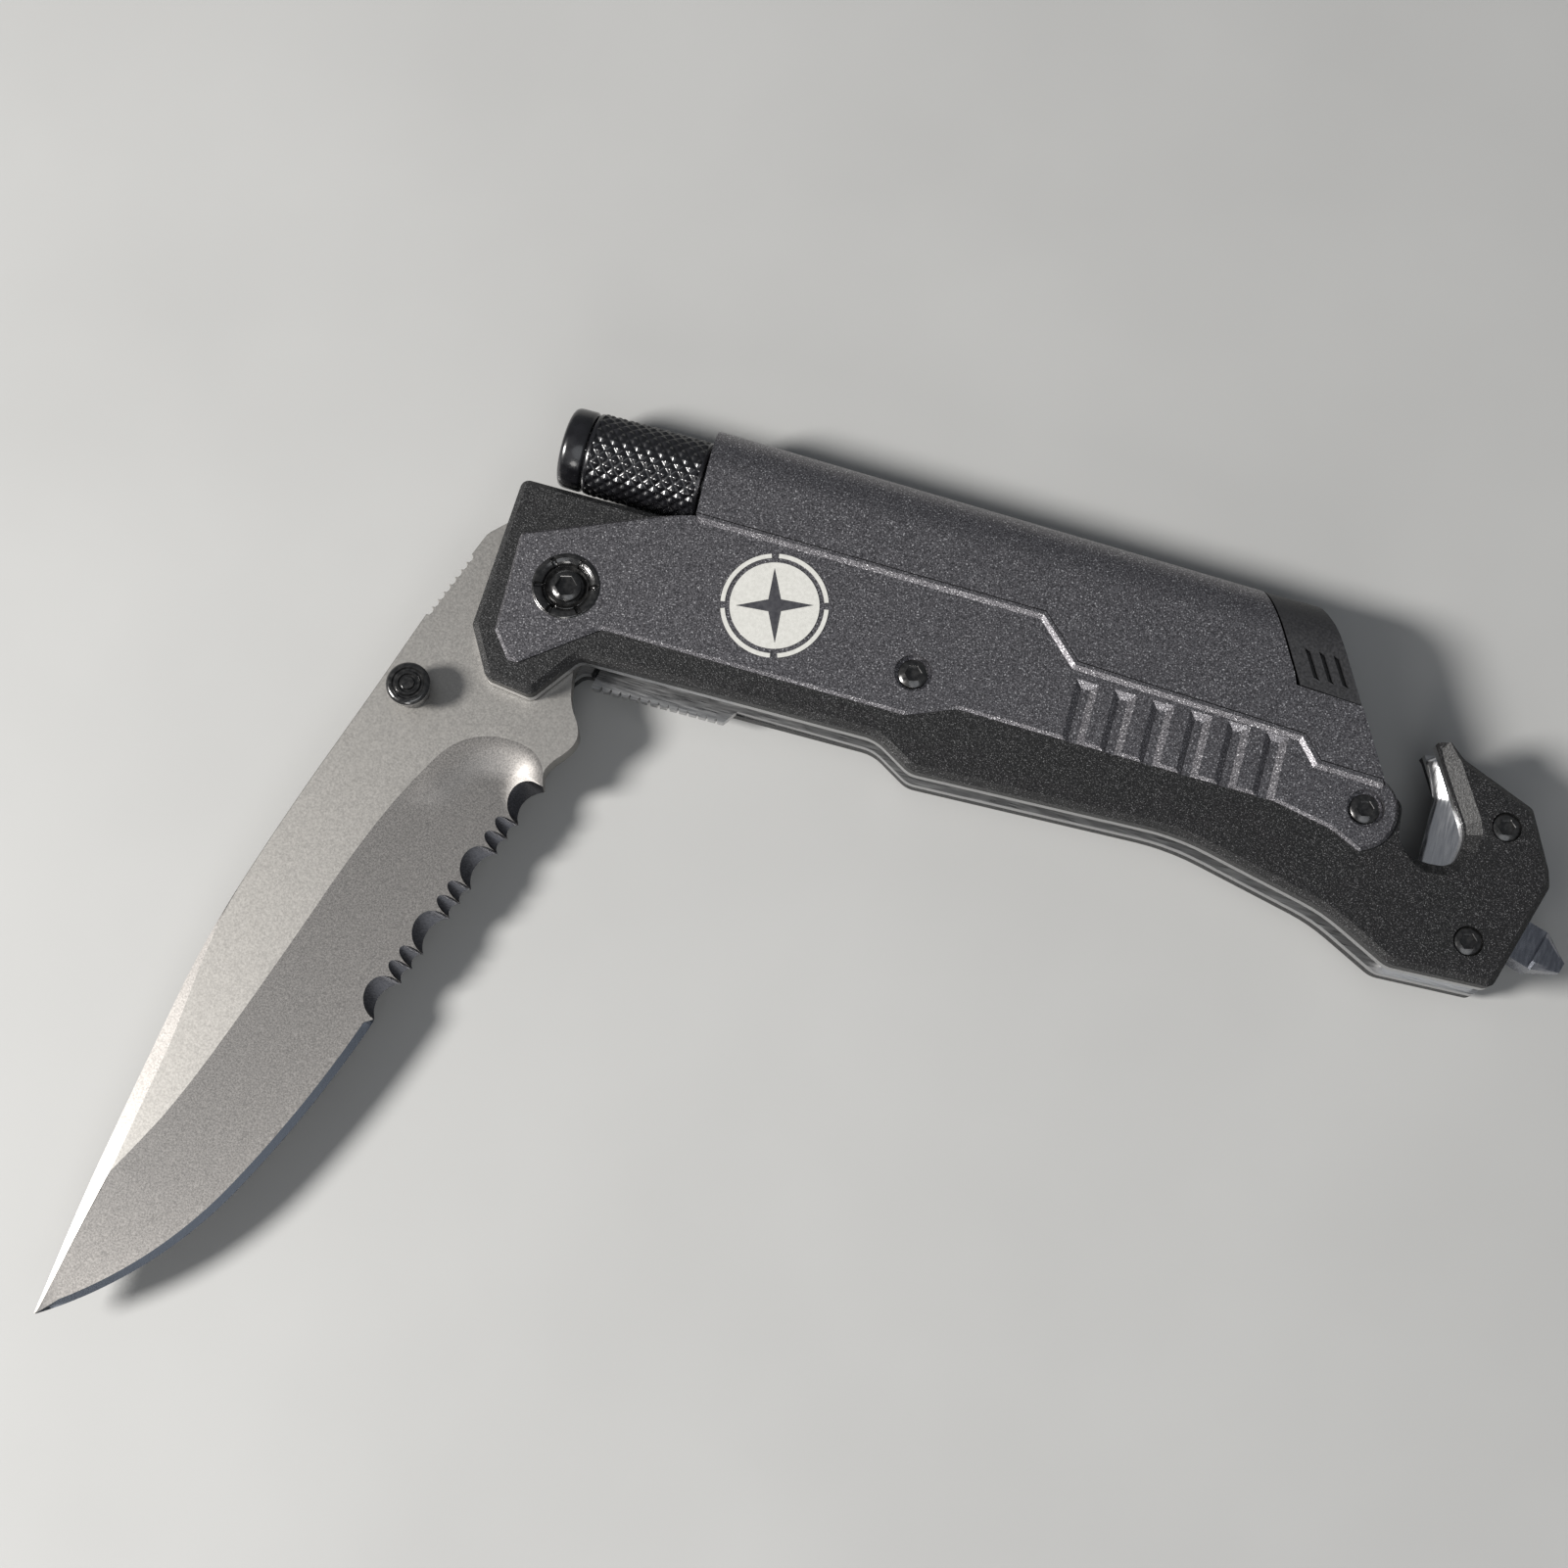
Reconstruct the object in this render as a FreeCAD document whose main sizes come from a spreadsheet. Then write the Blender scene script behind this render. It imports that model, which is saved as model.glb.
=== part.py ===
import FreeCAD, Part
import math
import os

import Sketcher
from FreeCAD import Placement, Rotation, Vector

# Folding rescue knife: half-serrated liner-lock blade, strap cutter and glass breaker at
# the butt, a pull-out flashlight and a pull-out fire starter in the spine housing.
# Frame: origin on the pivot axis, on the knife's right-hand face; +X runs from the pivot
# to the butt, +Y from the belly to the spine, +Z from the right side to the left side.

doc = FreeCAD.newDocument("rigging_knife")
sheet = doc.addObject("Spreadsheet::Sheet", "Sizes")

SIZES = [
    ("overall_thickness", 12.8, "right face of the housing to its left face"),
    ("middle_height", 6.4, "mid-plane of the blade above the right face"),
    ("blade_thickness", 2.8, "blade stock"),
    ("washer_thickness", 0.3, "bronze pivot washer"),
    ("washer_radius", 5.4, "bronze pivot washer"),
    ("liner_inner", 1.7, "mid-plane to the liner's inner face"),
    ("liner_thickness", 1.2, "steel liner"),
    ("scale_inner", 2.9, "mid-plane to the scale's inner face"),
    ("scale_thickness", 2.3, "black aluminium scale"),
    ("scale_bevel", 0.7, "bevel round the scale's outer face"),
    ("notch_bevel", 1.4, "bevel along the strap notch, in each scale's face"),
    ("inlay_inner", 4.2, "mid-plane to the floor of the inlay's pocket"),
    ("inlay_thickness", 1.6, "grey inlay"),
    ("pocket_depth", 1.0, "depth of the inlay's pocket in the scale"),
    ("rim_rise", 0.55, "inlay's rim above its face"),
    ("rim_slope", 0.48, "slope along the rim's lower side"),
    ("inlay_bevel", 0.35, "bevel round the inlay's outer face"),
    ("rib_depth", 0.55, "depth of the grip grooves"),
    ("rib_pitch", 4.38, "grip groove to grip groove"),
    ("rib_count", 6, "number of grip grooves"),
    ("skirt_thickness", 1.15, "housing's side skirt"),
    ("spine_rounding", 6.2, "rounding along the housing's top edges"),
    ("tongue_thickness", 3.3, "housing's tongue between the liners"),
    ("pivot_radius", 2.5, "pivot barrel"),
    ("blade_bore", 2.53, "blade's bore, a running fit on the barrel"),
    ("pivot_head_height", 1.7, "barrel's flush head, on the right"),
    ("pivot_length", 11.0, "barrel with its head"),
    ("thread_radius", 1.5, "threaded bore of the barrel"),
    ("thread_play", 0.05, "between the pivot screw and its thread"),
    ("collar_radius", 3.9, "dished pivot collar"),
    ("collar_seat", 0.4, "collar's underside above the pocket's floor"),
    ("collar_height", 1.4, "dished pivot collar"),
    ("collar_web", 0.4, "collar's floor, which the pivot screw presses on"),
    ("button_height", 1.1, "pivot screw's head"),
    ("button_radius", 1.8, "pivot screw's head"),
    ("button_socket", 1.3, "pivot screw's socket, corner to centre"),
    ("stop_radius", 1.75, "stop pin"),
    ("pin_radius", 0.75, "cross pins of the housing"),
    ("shank_radius", 1.1, "shank of the small screws"),
    ("screw_head_radius", 1.7, "head of the small screws"),
    ("screw_seat_radius", 2.15, "counterbore of the small screws"),
    ("inlay_seat", 0.9, "inlay screws' seats below the inlay's face"),
    ("butt_seat", 1.0, "butt screws' seats below the scale's face"),
    ("head_sink", 0.1, "small screws' heads below the face around them"),
    ("socket_floor", 0.35, "floor of a screw's socket above the head's underside"),
    ("socket_radius", 0.95, "screw socket, corner to centre"),
    ("stud_radius", 2.5, "thumb stud head"),
    ("stud_height", 3.8, "thumb stud above the blade"),
    ("stud_head_height", 1.6, "thumb stud head"),
    ("stud_neck_step", 0.5, "head's radius less the neck's"),
    ("lamp_axis_spine", 18.1, "flashlight and fire starter axis above the pivot"),
    ("lamp_head_radius", 4.9, "knurled head"),
    ("sleeve_length", 13.9, "knurled sleeve"),
    ("cup_radius", 3.9, "reflector's outside, and the sleeve's bore for it"),
    ("cup_depth", 4.5, "reflector"),
    ("neck_radius", 3.27, "barrel's neck, on which the head twists"),
    ("neck_play", 0.03, "between the neck and the sleeve"),
    ("bezel_length", 2.9, "bezel"),
    ("bezel_opening", 3.6, "radius of the bezel's mouth"),
    ("lens_radius", 4.1, "lens"),
    ("lens_thickness", 0.9, "lens"),
    ("chip_radius", 1.2, "lamp chip"),
    ("board_radius", 3.8, "lamp board"),
    ("board_thickness", 1.2, "lamp chip, and the board under it"),
    ("contact_radius", 1.1, "contact from the board to the cells"),
    ("contact_play", 0.1, "round the contact"),
    ("lamp_tube_radius", 4.4, "flashlight barrel"),
    ("lamp_tube_wall", 0.35, "flashlight barrel wall"),
    ("lamp_bore_radius", 4.45, "housing bore for the barrel"),
    ("cell_radius", 3.9, "button cell"),
    ("cell_height", 3.6, "button cell"),
    ("cell_count", 4, "number of button cells"),
    ("cell_gap", 0.05, "between two cells"),
    ("spring_width", 3.0, "leaf spring"),
    ("tail_cap_length", 2.6, "flashlight's tail cap"),
    ("rod_radius", 2.5, "ferro rod"),
    ("rod_bore_radius", 2.6, "housing bore for the rod"),
    ("cutter_thickness", 3.0, "strap cutter blade"),
    ("spacer_thickness", 3.4, "butt spacer between the liners"),
    ("breaker_width", 4.7, "glass breaker across its flats"),
]
for row, (alias, value, meaning) in enumerate(SIZES, 1):
    sheet.set("A%d" % row, meaning)
    sheet.set("B%d" % row, str(value))
    sheet.setAlias("B%d" % row, alias)
doc.recompute()


def size(alias):
    return float(sheet.get(alias))


# Places on the handle, x and y from the pivot axis.
STOP_PIN = (5.6, 6.6)
MIDDLE_SCREW = (40.6, 1.0)
REAR_SCREW = (93.0, -0.2)
BUTT_SCREWS = [(108.7, 2.2), (107.3, -11.5)]
HOUSING_PINS = [(22.0, 11.5), (70.0, 11.5)]
BLADE_ANGLE = -108.9
BREAKER_PLACE = (112.9, -8.7)
BREAKER_ANGLE = -17.0
LOCK_ROOT = 50.0
HOLES = [(0, 0), STOP_PIN, MIDDLE_SCREW, REAR_SCREW] + BUTT_SCREWS + HOUSING_PINS

# The thumb stud's place on the blade, from the pivot axis towards the tip and the edge.
STUD = (19.3, -8.1)
BLADE_PLACEMENT = Placement(Vector(), Rotation(Vector(0, 0, 1), BLADE_ANGLE))
BREAKER_PLACEMENT = Placement(
    Vector(BREAKER_PLACE[0], BREAKER_PLACE[1], 0), Rotation(Vector(0, 0, 1), BREAKER_ANGLE))

# Stations along the axis of the flashlight and the fire starter, x from the pivot axis.
BEZEL_START = -5.9
LENS_START = -4.6
HEAD_START = -2.9
CHIP_START = 0.6
BOARD_START = 1.8
CONTACT_START = 3.3
CONTACT_END = 13.2
NECK_START = 6.1
TUBE_START = 11.8
TUBE_FLOOR = 13.0
SPRING_START = 27.9
SPRING_END = 37.0
SPACER_START = 37.1
SPACER_END = 43.9
TAIL_START = 44.0
LAMP_BORE_END = 47.6
ROD_START = 50.5
ROD_END = 84.5

MIDDLE = "Sizes.middle_height"
SCALE_LOW = MIDDLE + " + Sizes.scale_inner"
SCALE_FACE = SCALE_LOW + " + Sizes.scale_thickness"
LINER_LOW = MIDDLE + " + Sizes.liner_inner"
INLAY_LOW = MIDDLE + " + Sizes.inlay_inner"
INLAY_FACE = INLAY_LOW + " + Sizes.inlay_thickness"


# ---------------------------------------------------------------- sketch helpers

def tangent_points(before, corner, after, radius):
    """Where an arc of this radius touches the two sides of a corner, and its middle."""
    here = Vector(corner[0], corner[1], 0)
    back = (Vector(before[0], before[1], 0) - here).normalize()
    ahead = (Vector(after[0], after[1], 0) - here).normalize()
    half = back.getAngle(ahead) / 2
    reach = radius / math.tan(half)
    centre = here + (back + ahead).normalize() * (radius / math.sin(half))
    middle = centre + (here - centre).normalize() * radius
    return here + back * reach, middle, here + ahead * reach


def trace(corners):
    """Closed outline. A corner is (x, y), or (x, y, radius) where it is rounded;
    (x, y, through_x, through_y) is the end of an arc through the second point."""
    count = len(corners)
    starts, ends, curves = [], [], []
    for index, corner in enumerate(corners):
        before = corners[index - 1]
        after = corners[(index + 1) % count]
        if len(corner) == 3:
            first, middle, last = tangent_points(before, corner, after, corner[2])
            curves.append(Part.Arc(first, middle, last))
        else:
            first = last = Vector(corner[0], corner[1], 0)
        starts.append(first)
        ends.append(last)
    for index, corner in enumerate(corners):
        begin, finish = ends[index - 1], starts[index]
        if len(corner) == 4:
            curves.append(Part.Arc(begin, Vector(corner[2], corner[3], 0), finish))
        elif begin.distanceToPoint(finish) > 1e-6:
            curves.append(Part.LineSegment(begin, finish))
    return curves


def make_body(label):
    body = doc.addObject("PartDesign::Body", label)
    body.Label = label
    return body


def origin_plane(body, role):
    for feature in body.Origin.OriginFeatures:
        if feature.Role == role:
            return feature
    raise ValueError(role)


def make_sketch(body, outline, offset, circles=(), plane="XY_Plane", island=()):
    """A sketch on one of the body's planes, moved off it by the offset expression.
    Each circle is (x, y, alias of its radius); an island is a second, inner outline."""
    sketch = body.newObject("Sketcher::SketchObject", body.Label + "_sketch")
    sketch.AttachmentSupport = (origin_plane(body, plane), [""])
    sketch.MapMode = "FlatFace"
    sketch.setExpression("AttachmentOffset.Base.z", offset)
    if outline:
        sketch.addGeometry(trace(outline), False)
    if island:
        sketch.addGeometry(trace(island), False)
    for x, y, alias in circles:
        circle = Part.Circle(Vector(x, y, 0), Vector(0, 0, 1), size(alias))
        index = sketch.addGeometry(circle, False)
        number = sketch.addConstraint(Sketcher.Constraint("Radius", index, size(alias)))
        sketch.setExpression("Constraints[%d]" % number, "Sizes." + alias)
    return sketch


def add_pad(body, outline, offset, length, circles=(), plane="XY_Plane", taper=0):
    pad = body.newObject("PartDesign::Pad", body.Label + "_pad")
    pad.Profile = make_sketch(body, outline, offset, circles, plane)
    pad.setExpression("Length", length)
    pad.TaperAngle = taper
    doc.recompute()
    return pad


def add_pocket(body, outline, offset, depth, circles=(), plane="XY_Plane", reverse=False, island=(),
               taper=0):
    """Cuts from the sketch down into the solid, and checks that something was cut."""
    before = body.Shape.Volume
    pocket = body.newObject("PartDesign::Pocket", body.Label + "_pocket")
    pocket.Profile = make_sketch(body, outline, offset, circles, plane, island)
    pocket.setExpression("Length", depth)
    pocket.Reversed = reverse
    pocket.TaperAngle = taper
    doc.recompute()
    if not body.Shape.Volume < before - 1e-6:
        raise RuntimeError("a pocket of %s cuts nothing" % body.Label)
    return pocket


def edges_where(feature, test):
    names = []
    for number, edge in enumerate(feature.Shape.Edges, 1):
        middle = edge.valueAt((edge.FirstParameter + edge.LastParameter) / 2)
        ends = [vertex.Point for vertex in edge.Vertexes]
        if all(test(point) for point in ends + [middle]):
            names.append("Edge%d" % number)
    return names


def bevel_edges(body, feature, test, alias, kind="PartDesign::Chamfer"):
    dress = body.newObject(kind, body.Label + "_bevel")
    dress.Base = (feature, edges_where(feature, test))
    dress.setExpression("Size" if kind.endswith("Chamfer") else "Radius", "Sizes." + alias)
    doc.recompute()
    return dress


def make_mirror(source, label):
    """The right-hand twin of a left-hand piece, across the blade's mid-plane."""
    twin = doc.addObject("Part::Mirroring", label)
    twin.Source = source
    twin.Normal = Vector(0, 0, 1)
    twin.setExpression("Base.z", MIDDLE)
    twin.Label = label
    return twin


def make_disc(label, place, low, radius, height):
    """An upright cylinder; low, radius and height are expressions."""
    disc = doc.addObject("Part::Cylinder", label)
    disc.Label = label
    disc.Placement = Placement(Vector(place[0], place[1], 0), Rotation())
    disc.setExpression("Placement.Base.z", low)
    disc.setExpression("Radius", radius)
    disc.setExpression("Height", height)
    return disc


def make_rod(label, start, radius, length):
    """A cylinder along +X on the lamp's axis, from x = start."""
    rod = doc.addObject("Part::Cylinder", label)
    rod.Label = label
    rod.Placement = Placement(Vector(start, 0, 0), Rotation(Vector(0, 1, 0), 90))
    rod.setExpression("Placement.Base.y", "Sizes.lamp_axis_spine")
    rod.setExpression("Placement.Base.z", MIDDLE)
    rod.setExpression("Radius", radius)
    rod.setExpression("Height", length)
    return rod


def make_cut(label, base, tools):
    cut = base
    for tool in tools:
        solid = cut
        cut = doc.addObject("Part::Cut", "cut_step")
        cut.Base = solid
        cut.Tool = tool
    cut.Label = label
    return cut


def make_group(label, pieces):
    group = doc.addObject("Part::Compound", label)
    group.Links = pieces
    group.Label = label
    return group


# ---------------------------------------------------------------- outlines

def side_outline():
    """Outline shared by the scales and the liners."""
    front = [(-8.8, 11.4, 1.0), (-9.1, -6.9, 1.2), (-5.8, -12.4, 1.2), (-0.3, -13.1, 1.2)]
    belly = [(3.7, -7.3, 1.5), (38.5, -6.95, 5), (43.2, -9.7, 3), (74.0, -8.4, 30)]
    rear = [(91.5, -12.3, 20), (99.6, -16.3, 3), (111.0, -15.7, 1.0)]
    butt = [(114.8, -3.0, 1), (114.3, -1.1, 1), (111.2, 5.2, 1.0), (102.6, 8.7, 3)]
    hook = [(100.9, 10.2), (99.5, 9.9)]
    notch = [(104.9, 0.4, 4), (104.2, -3.7, 2.2), (97.5, -4.1, 2.6), (97.0, 1.4, 1.5)]
    top = [(94.6, 3.2), (90.2, 10.8), (82.0, 10.9), (80.6, 12.6)]
    lamp = [(12.6, 12.6), (12.0, 11.4)]
    return front + belly + rear + butt + hook + notch + top + lamp


PARTING = [(11.8, 12.4), (53.2, 12.0), (58.1, 7.3), (84.6, 6.2), (86.9, 3.7), (94.0, 3.5)]


# Upper edge of the bevel along the strap notch: its left part lies in the open mouth.
NOTCH_RIM = [(97.6, -2.2), (98.3, -3.6), (99.6, -4.7), (101.3, -5.3), (103.6, -4.95), (105.0, -3.7),
             (106.0, -1.7), (106.3, 0.6), (105.8, 2.2), (104.1, 5.0), (102.1, 8.4), (101.0, 10.8),
             (95.9, 10.8), (95.7, 4.2), (97.6, 2.4)]
BEVEL_TAPER = -45

# The grip grooves' walls lean outwards, in degrees from upright.
GROOVE_TAPER = -55


def inlay_outline():
    """Grey inlay: below the housing's skirt, round the rear screw, over the pivot."""
    front = [(-6.9, 4.8, 0.6), (-6.3, -7.0, 0.6), (-3.8, -10.1, 0.5), (-2.7, -10.0, 0.4)]
    belly = [(5.3, -3.7, 1.5), (41.0, -3.9, 2), (46.4, -1.6, 2), (83.0, -2.1, 10)]
    rear = [(90.0, -3.5, 5), (93.6, -5.2, 0.5)]
    end = [(96.7, -0.2, 96.0, -3.0), (94.6, 3.4, 96.1, 2.0)]
    seam = [(x, y - 0.1) for x, y in reversed(PARTING)]
    return front + belly + rear + end + seam[:-1] + [(11.6, 12.1), (7.3, 10.9)]


def rim_outline():
    """Strip of the inlay along the housing's skirt."""
    seam = [(x, y - 0.1) for x, y in PARTING[:-1]] + [(94.0, 3.4)]
    inner = [(94.3, 2.45), (86.35, 2.7), (84.1, 5.25), (57.7, 6.35), (52.8, 11.05), (12.4, 11.45)]
    return seam + inner


def skirt_outline():
    """Outer skirt of the housing, left face: its lower edge is the parting line."""
    rear = [(94.5, 2.9), (90.0, 10.95), (82.3, 11.35)]
    return PARTING + rear + [(81.75, 12.7), (11.8, 12.7)]


def blade_outline():
    """Blade seen on its left face: x from the pivot to the tip, y towards the edge."""
    kick = [(7.0, 5.6, 5.1, 5.2), (10.2, 7.5, 2), (12.0, 10.2, 1.0), (14.1, 10.9, 1.0),
            (17.9, 9.4, 2.5), (19.8, 10.6)]
    teeth = []
    wide, narrow = 5.0, 2.0
    wide_scallops = 4
    x = 19.8
    for number in range(wide_scallops):
        teeth.append((x + wide, 10.75, x + wide / 2 + 0.1, 9.55))
        x += wide
        for _ in range(2 if number < wide_scallops - 1 else 0):
            teeth.append((x + narrow, 10.75, x + narrow / 2, 10.1))
            x += narrow
    point = [(75.8, 9.65, 64.7, 10.75), (98.2, 0.0, 88.5, 5.9)]
    spine = [(53.9, -9.7, 20), (38.0, -11.5, 40), (22.9, -11.8, 20), (11.0, -12.4, 2)]
    ramp = [(-0.8, -12.4, 1), (-3.8, -10.9, 0.6)]
    tang = [(-3.8, -5.5), (-6.65, -0.6, -5.7, -3.5), (-6.65, 0.5), (-6.0, 3.0), (3.35, 5.8, -2.6, 6.2)]
    return kick + teeth + point + spine + ramp + tang


# ---------------------------------------------------------------- blade group

def build_blade():
    """Flat stock with the outline's teeth, ground on both sides down to the edge."""
    body = make_body("blade")
    low = MIDDLE + " - Sizes.blade_thickness / 2"
    circles = [(0, 0, "blade_bore"), (STUD[0], STUD[1], "shank_radius")]
    add_pad(body, blade_outline(), low, "Sizes.blade_thickness", circles)
    grind_line, edge_line = -1.8, 11.8
    edge_half, margin = 0.2, 0.05
    tip_side, grind_length = "101", "83.5"
    for side in (1, -1):
        face = size("middle_height") + side * (size("blade_thickness") / 2 + margin)
        edge = size("middle_height") + side * edge_half
        wedge = [(grind_line, face), (edge_line, face), (edge_line, edge)]
        add_pocket(body, wedge, tip_side, grind_length, plane="YZ_Plane")
    body.Placement = BLADE_PLACEMENT
    return body


def build_thumb_studs():
    """Two turned heads, one each side of the blade, on one pin."""
    face = MIDDLE + " + Sizes.blade_thickness / 2"
    spot = BLADE_PLACEMENT.multVec(Vector(STUD[0], STUD[1], 0))
    neck_radius = "Sizes.stud_radius - Sizes.stud_neck_step"
    neck = make_disc("stud_neck", spot, face, neck_radius, "Sizes.stud_height")
    head_low = face + " + Sizes.stud_height - Sizes.stud_head_height"
    head = make_disc("stud_head", spot, head_low, "Sizes.stud_radius", "Sizes.stud_head_height")
    left = doc.addObject("Part::Fuse", "left_thumb_stud")
    left.Base = neck
    left.Tool = head
    left.Label = "left_thumb_stud"
    right = make_mirror(left, "right_thumb_stud")
    low = MIDDLE + " - Sizes.blade_thickness / 2"
    pin = make_disc("thumb_stud_pin", spot, low, "Sizes.shank_radius", "Sizes.blade_thickness")
    return [left, right, pin]


# ---------------------------------------------------------------- handle plates

def plate_circles(*extra):
    circles = [(0, 0, "pivot_radius"), (STOP_PIN[0], STOP_PIN[1], "stop_radius")]
    circles += [(x, y, "shank_radius") for x, y in BUTT_SCREWS + [MIDDLE_SCREW, REAR_SCREW]]
    circles += [(x, y, "pin_radius") for x, y in HOUSING_PINS]
    return circles + list(extra)


def build_scale():
    """Black outer plate with a bevelled rim and a pocket for the grey inlay."""
    body = make_body("left_scale")
    pad = add_pad(body, side_outline(), SCALE_LOW, "Sizes.scale_thickness", plate_circles())
    face = size("middle_height") + size("scale_inner") + size("scale_thickness")

    def on_rim(point):
        hidden = point.y > 10.95 and point.x > 11.0
        in_notch = 93.0 < point.x < 106.0 and point.y > -4.2
        in_hole = min(math.hypot(point.x - x, point.y - y) for x, y in HOLES) < 2.6
        return abs(point.z - face) < 1e-4 and not (hidden or in_notch or in_hole)

    bevel_edges(body, pad, on_rim, "scale_bevel")
    add_pocket(body, inlay_outline(), SCALE_FACE, "Sizes.pocket_depth")
    heads = [(x, y, "screw_head_radius") for x, y in BUTT_SCREWS]
    add_pocket(body, [], SCALE_FACE, "Sizes.butt_seat", heads)
    add_pocket(body, NOTCH_RIM, SCALE_FACE, "Sizes.notch_bevel", taper=BEVEL_TAPER)
    return body


def build_inlay():
    """Grey plate: bevelled, with a rim along the housing, grip ribs and screw seats."""
    body = make_body("left_inlay")
    circles = [(x, y, "shank_radius") for x, y in (MIDDLE_SCREW, REAR_SCREW)]
    circles.append((0, 0, "collar_radius"))
    pad = add_pad(body, inlay_outline(), INLAY_LOW, "Sizes.inlay_thickness", circles)
    face = size("middle_height") + size("inlay_inner") + size("inlay_thickness")
    top = face + size("rim_rise")

    def on_rim(point):
        at_seam = point.y > seam_height(point.x) - 0.2
        in_hole = min(math.hypot(point.x - x, point.y - y) for x, y in HOLES) < 4.2
        near_end = point.x > 88.0
        return abs(point.z - face) < 1e-4 and not at_seam and not (in_hole and not near_end)

    bevel_edges(body, pad, on_rim, "inlay_bevel")
    rim = add_pad(body, rim_outline(), INLAY_FACE, "Sizes.rim_rise")

    def on_slope(point):
        return abs(point.z - top) < 1e-4 and point.y < seam_height(point.x) - 0.4

    bevel_edges(body, rim, on_slope, "rim_slope")
    for groove in groove_outlines():
        add_pocket(body, groove, INLAY_FACE, "Sizes.rib_depth", taper=GROOVE_TAPER)
    seats = [(x, y, "screw_seat_radius") for x, y in (MIDDLE_SCREW, REAR_SCREW)]
    add_pocket(body, [], INLAY_FACE, "Sizes.inlay_seat", seats)
    return body


def seam_height(x):
    """Height of the inlay's upper edge at x, along the housing's skirt."""
    points = [(-7.0, 4.8), (7.3, 10.9), (11.6, 12.1)] + [(a, b - 0.1) for a, b in PARTING]
    for (x1, y1), (x2, y2) in zip(points, points[1:]):
        if x1 <= x <= x2:
            return y1 + (y2 - y1) * (x - x1) / (x2 - x1)
    return 3.4


def groove_outlines():
    """The grip grooves, open at the belly."""
    first, width = 58.5, 2.55
    bottom, top = -6.0, 5.4
    outlines = []
    for number in range(int(size("rib_count"))):
        x = first + number * size("rib_pitch")
        outlines.append([(x, bottom), (x + width, bottom), (x + width, top), (x, top)])
    return outlines


def build_liner(label):
    """Steel plate under the scale, on the left side of the mid-plane."""
    body = make_body(label)
    add_pad(body, side_outline(), LINER_LOW, "Sizes.liner_thickness", plate_circles())
    return body


def lock_bar_outline():
    """Bar of the right liner, from its root to the face that meets the blade's tang."""
    face = [(6.75, -1.3), (6.2, -3.2), (5.0, -8.85, 0.3)]
    thumb = [(20.9, -8.7, 0.3), (22.1, -6.95)]
    belly = [(38.5, -6.95, 5), (43.2, -9.7, 3), (LOCK_ROOT, -9.43)]
    return face + thumb + belly + [(LOCK_ROOT, -1.3)]


def build_right_liner():
    """The right liner, opened for the lock bar with a slit above and before it."""
    body = make_body("right_liner")
    low = MIDDLE + " - Sizes.liner_inner - Sizes.liner_thickness"
    add_pad(body, side_outline(), low, "Sizes.liner_thickness", plate_circles())
    window = [(6.3, -0.7), (5.6, -3.2), (4.2, -9.0), (4.2, -12.0), (LOCK_ROOT, -12.0)]
    window.append((LOCK_ROOT, -0.7))
    add_pocket(body, window, low + " + Sizes.liner_thickness", "Sizes.liner_thickness")
    return body


def build_lock_bar():
    body = make_body("lock_bar")
    low = MIDDLE + " - Sizes.liner_inner - Sizes.liner_thickness"
    add_pad(body, lock_bar_outline(), low, "Sizes.liner_thickness")
    teeth, first, pitch, width = 13, 5.9, 1.15, 0.7
    outside, root = -9.15, -8.35
    for number in range(teeth):
        x = first + number * pitch
        notch = [(x, outside), (x + width, outside), (x + width / 2, root)]
        add_pocket(body, notch, low + " + Sizes.liner_thickness", "Sizes.liner_thickness")
    return body


# ---------------------------------------------------------------- pivot and fasteners

def build_pivot():
    """Barrel with its flush head on the right, dished collar and button screw on the left."""
    axis = (0, 0)
    head = make_disc("pivot_head", axis, "0", "Sizes.collar_radius", "Sizes.pivot_head_height")
    barrel = make_disc("pivot_shaft", axis, "0", "Sizes.pivot_radius", "Sizes.pivot_length")
    tube = doc.addObject("Part::Fuse", "pivot_solid")
    tube.Base = head
    tube.Tool = barrel
    thread_low, shank_low = "4", "5"
    thread = make_disc("pivot_thread", axis, thread_low, "Sizes.thread_radius", "Sizes.pivot_length")
    pivot = make_cut("pivot_barrel", tube, [thread])
    collar_low = INLAY_LOW + " + Sizes.collar_seat"
    screw_low = collar_low + " + Sizes.collar_web"
    ring = make_disc("collar_ring", axis, collar_low, "Sizes.collar_radius", "Sizes.collar_height")
    dish = doc.addObject("Part::Cone", "collar_dish")
    dish.setExpression("Placement.Base.z", screw_low)
    dish.setExpression("Radius1", "Sizes.button_radius + 0.1")
    dish.setExpression("Radius2", "Sizes.collar_radius - 0.3")
    dish.setExpression("Height", "Sizes.collar_height - Sizes.collar_web")
    hole_radius = "Sizes.thread_radius + Sizes.thread_play"
    hole = make_disc("collar_hole", axis, collar_low, hole_radius, "Sizes.collar_height")
    collar = make_cut("pivot_collar", ring, [dish, hole])
    button = make_disc("pivot_button", axis, screw_low, "Sizes.button_radius", "Sizes.button_height")
    shank_radius = "Sizes.thread_radius - Sizes.thread_play"
    shank = make_disc("pivot_shank", axis, shank_low, shank_radius, screw_low + " - " + shank_low)
    screw = doc.addObject("Part::Fuse", "pivot_screw_solid")
    screw.Base = button
    screw.Tool = shank
    socket = make_socket(axis, screw_low + " + Sizes.socket_floor", "Sizes.button_socket")
    return [pivot, collar, make_cut("pivot_screw", screw, [socket])]


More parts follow.
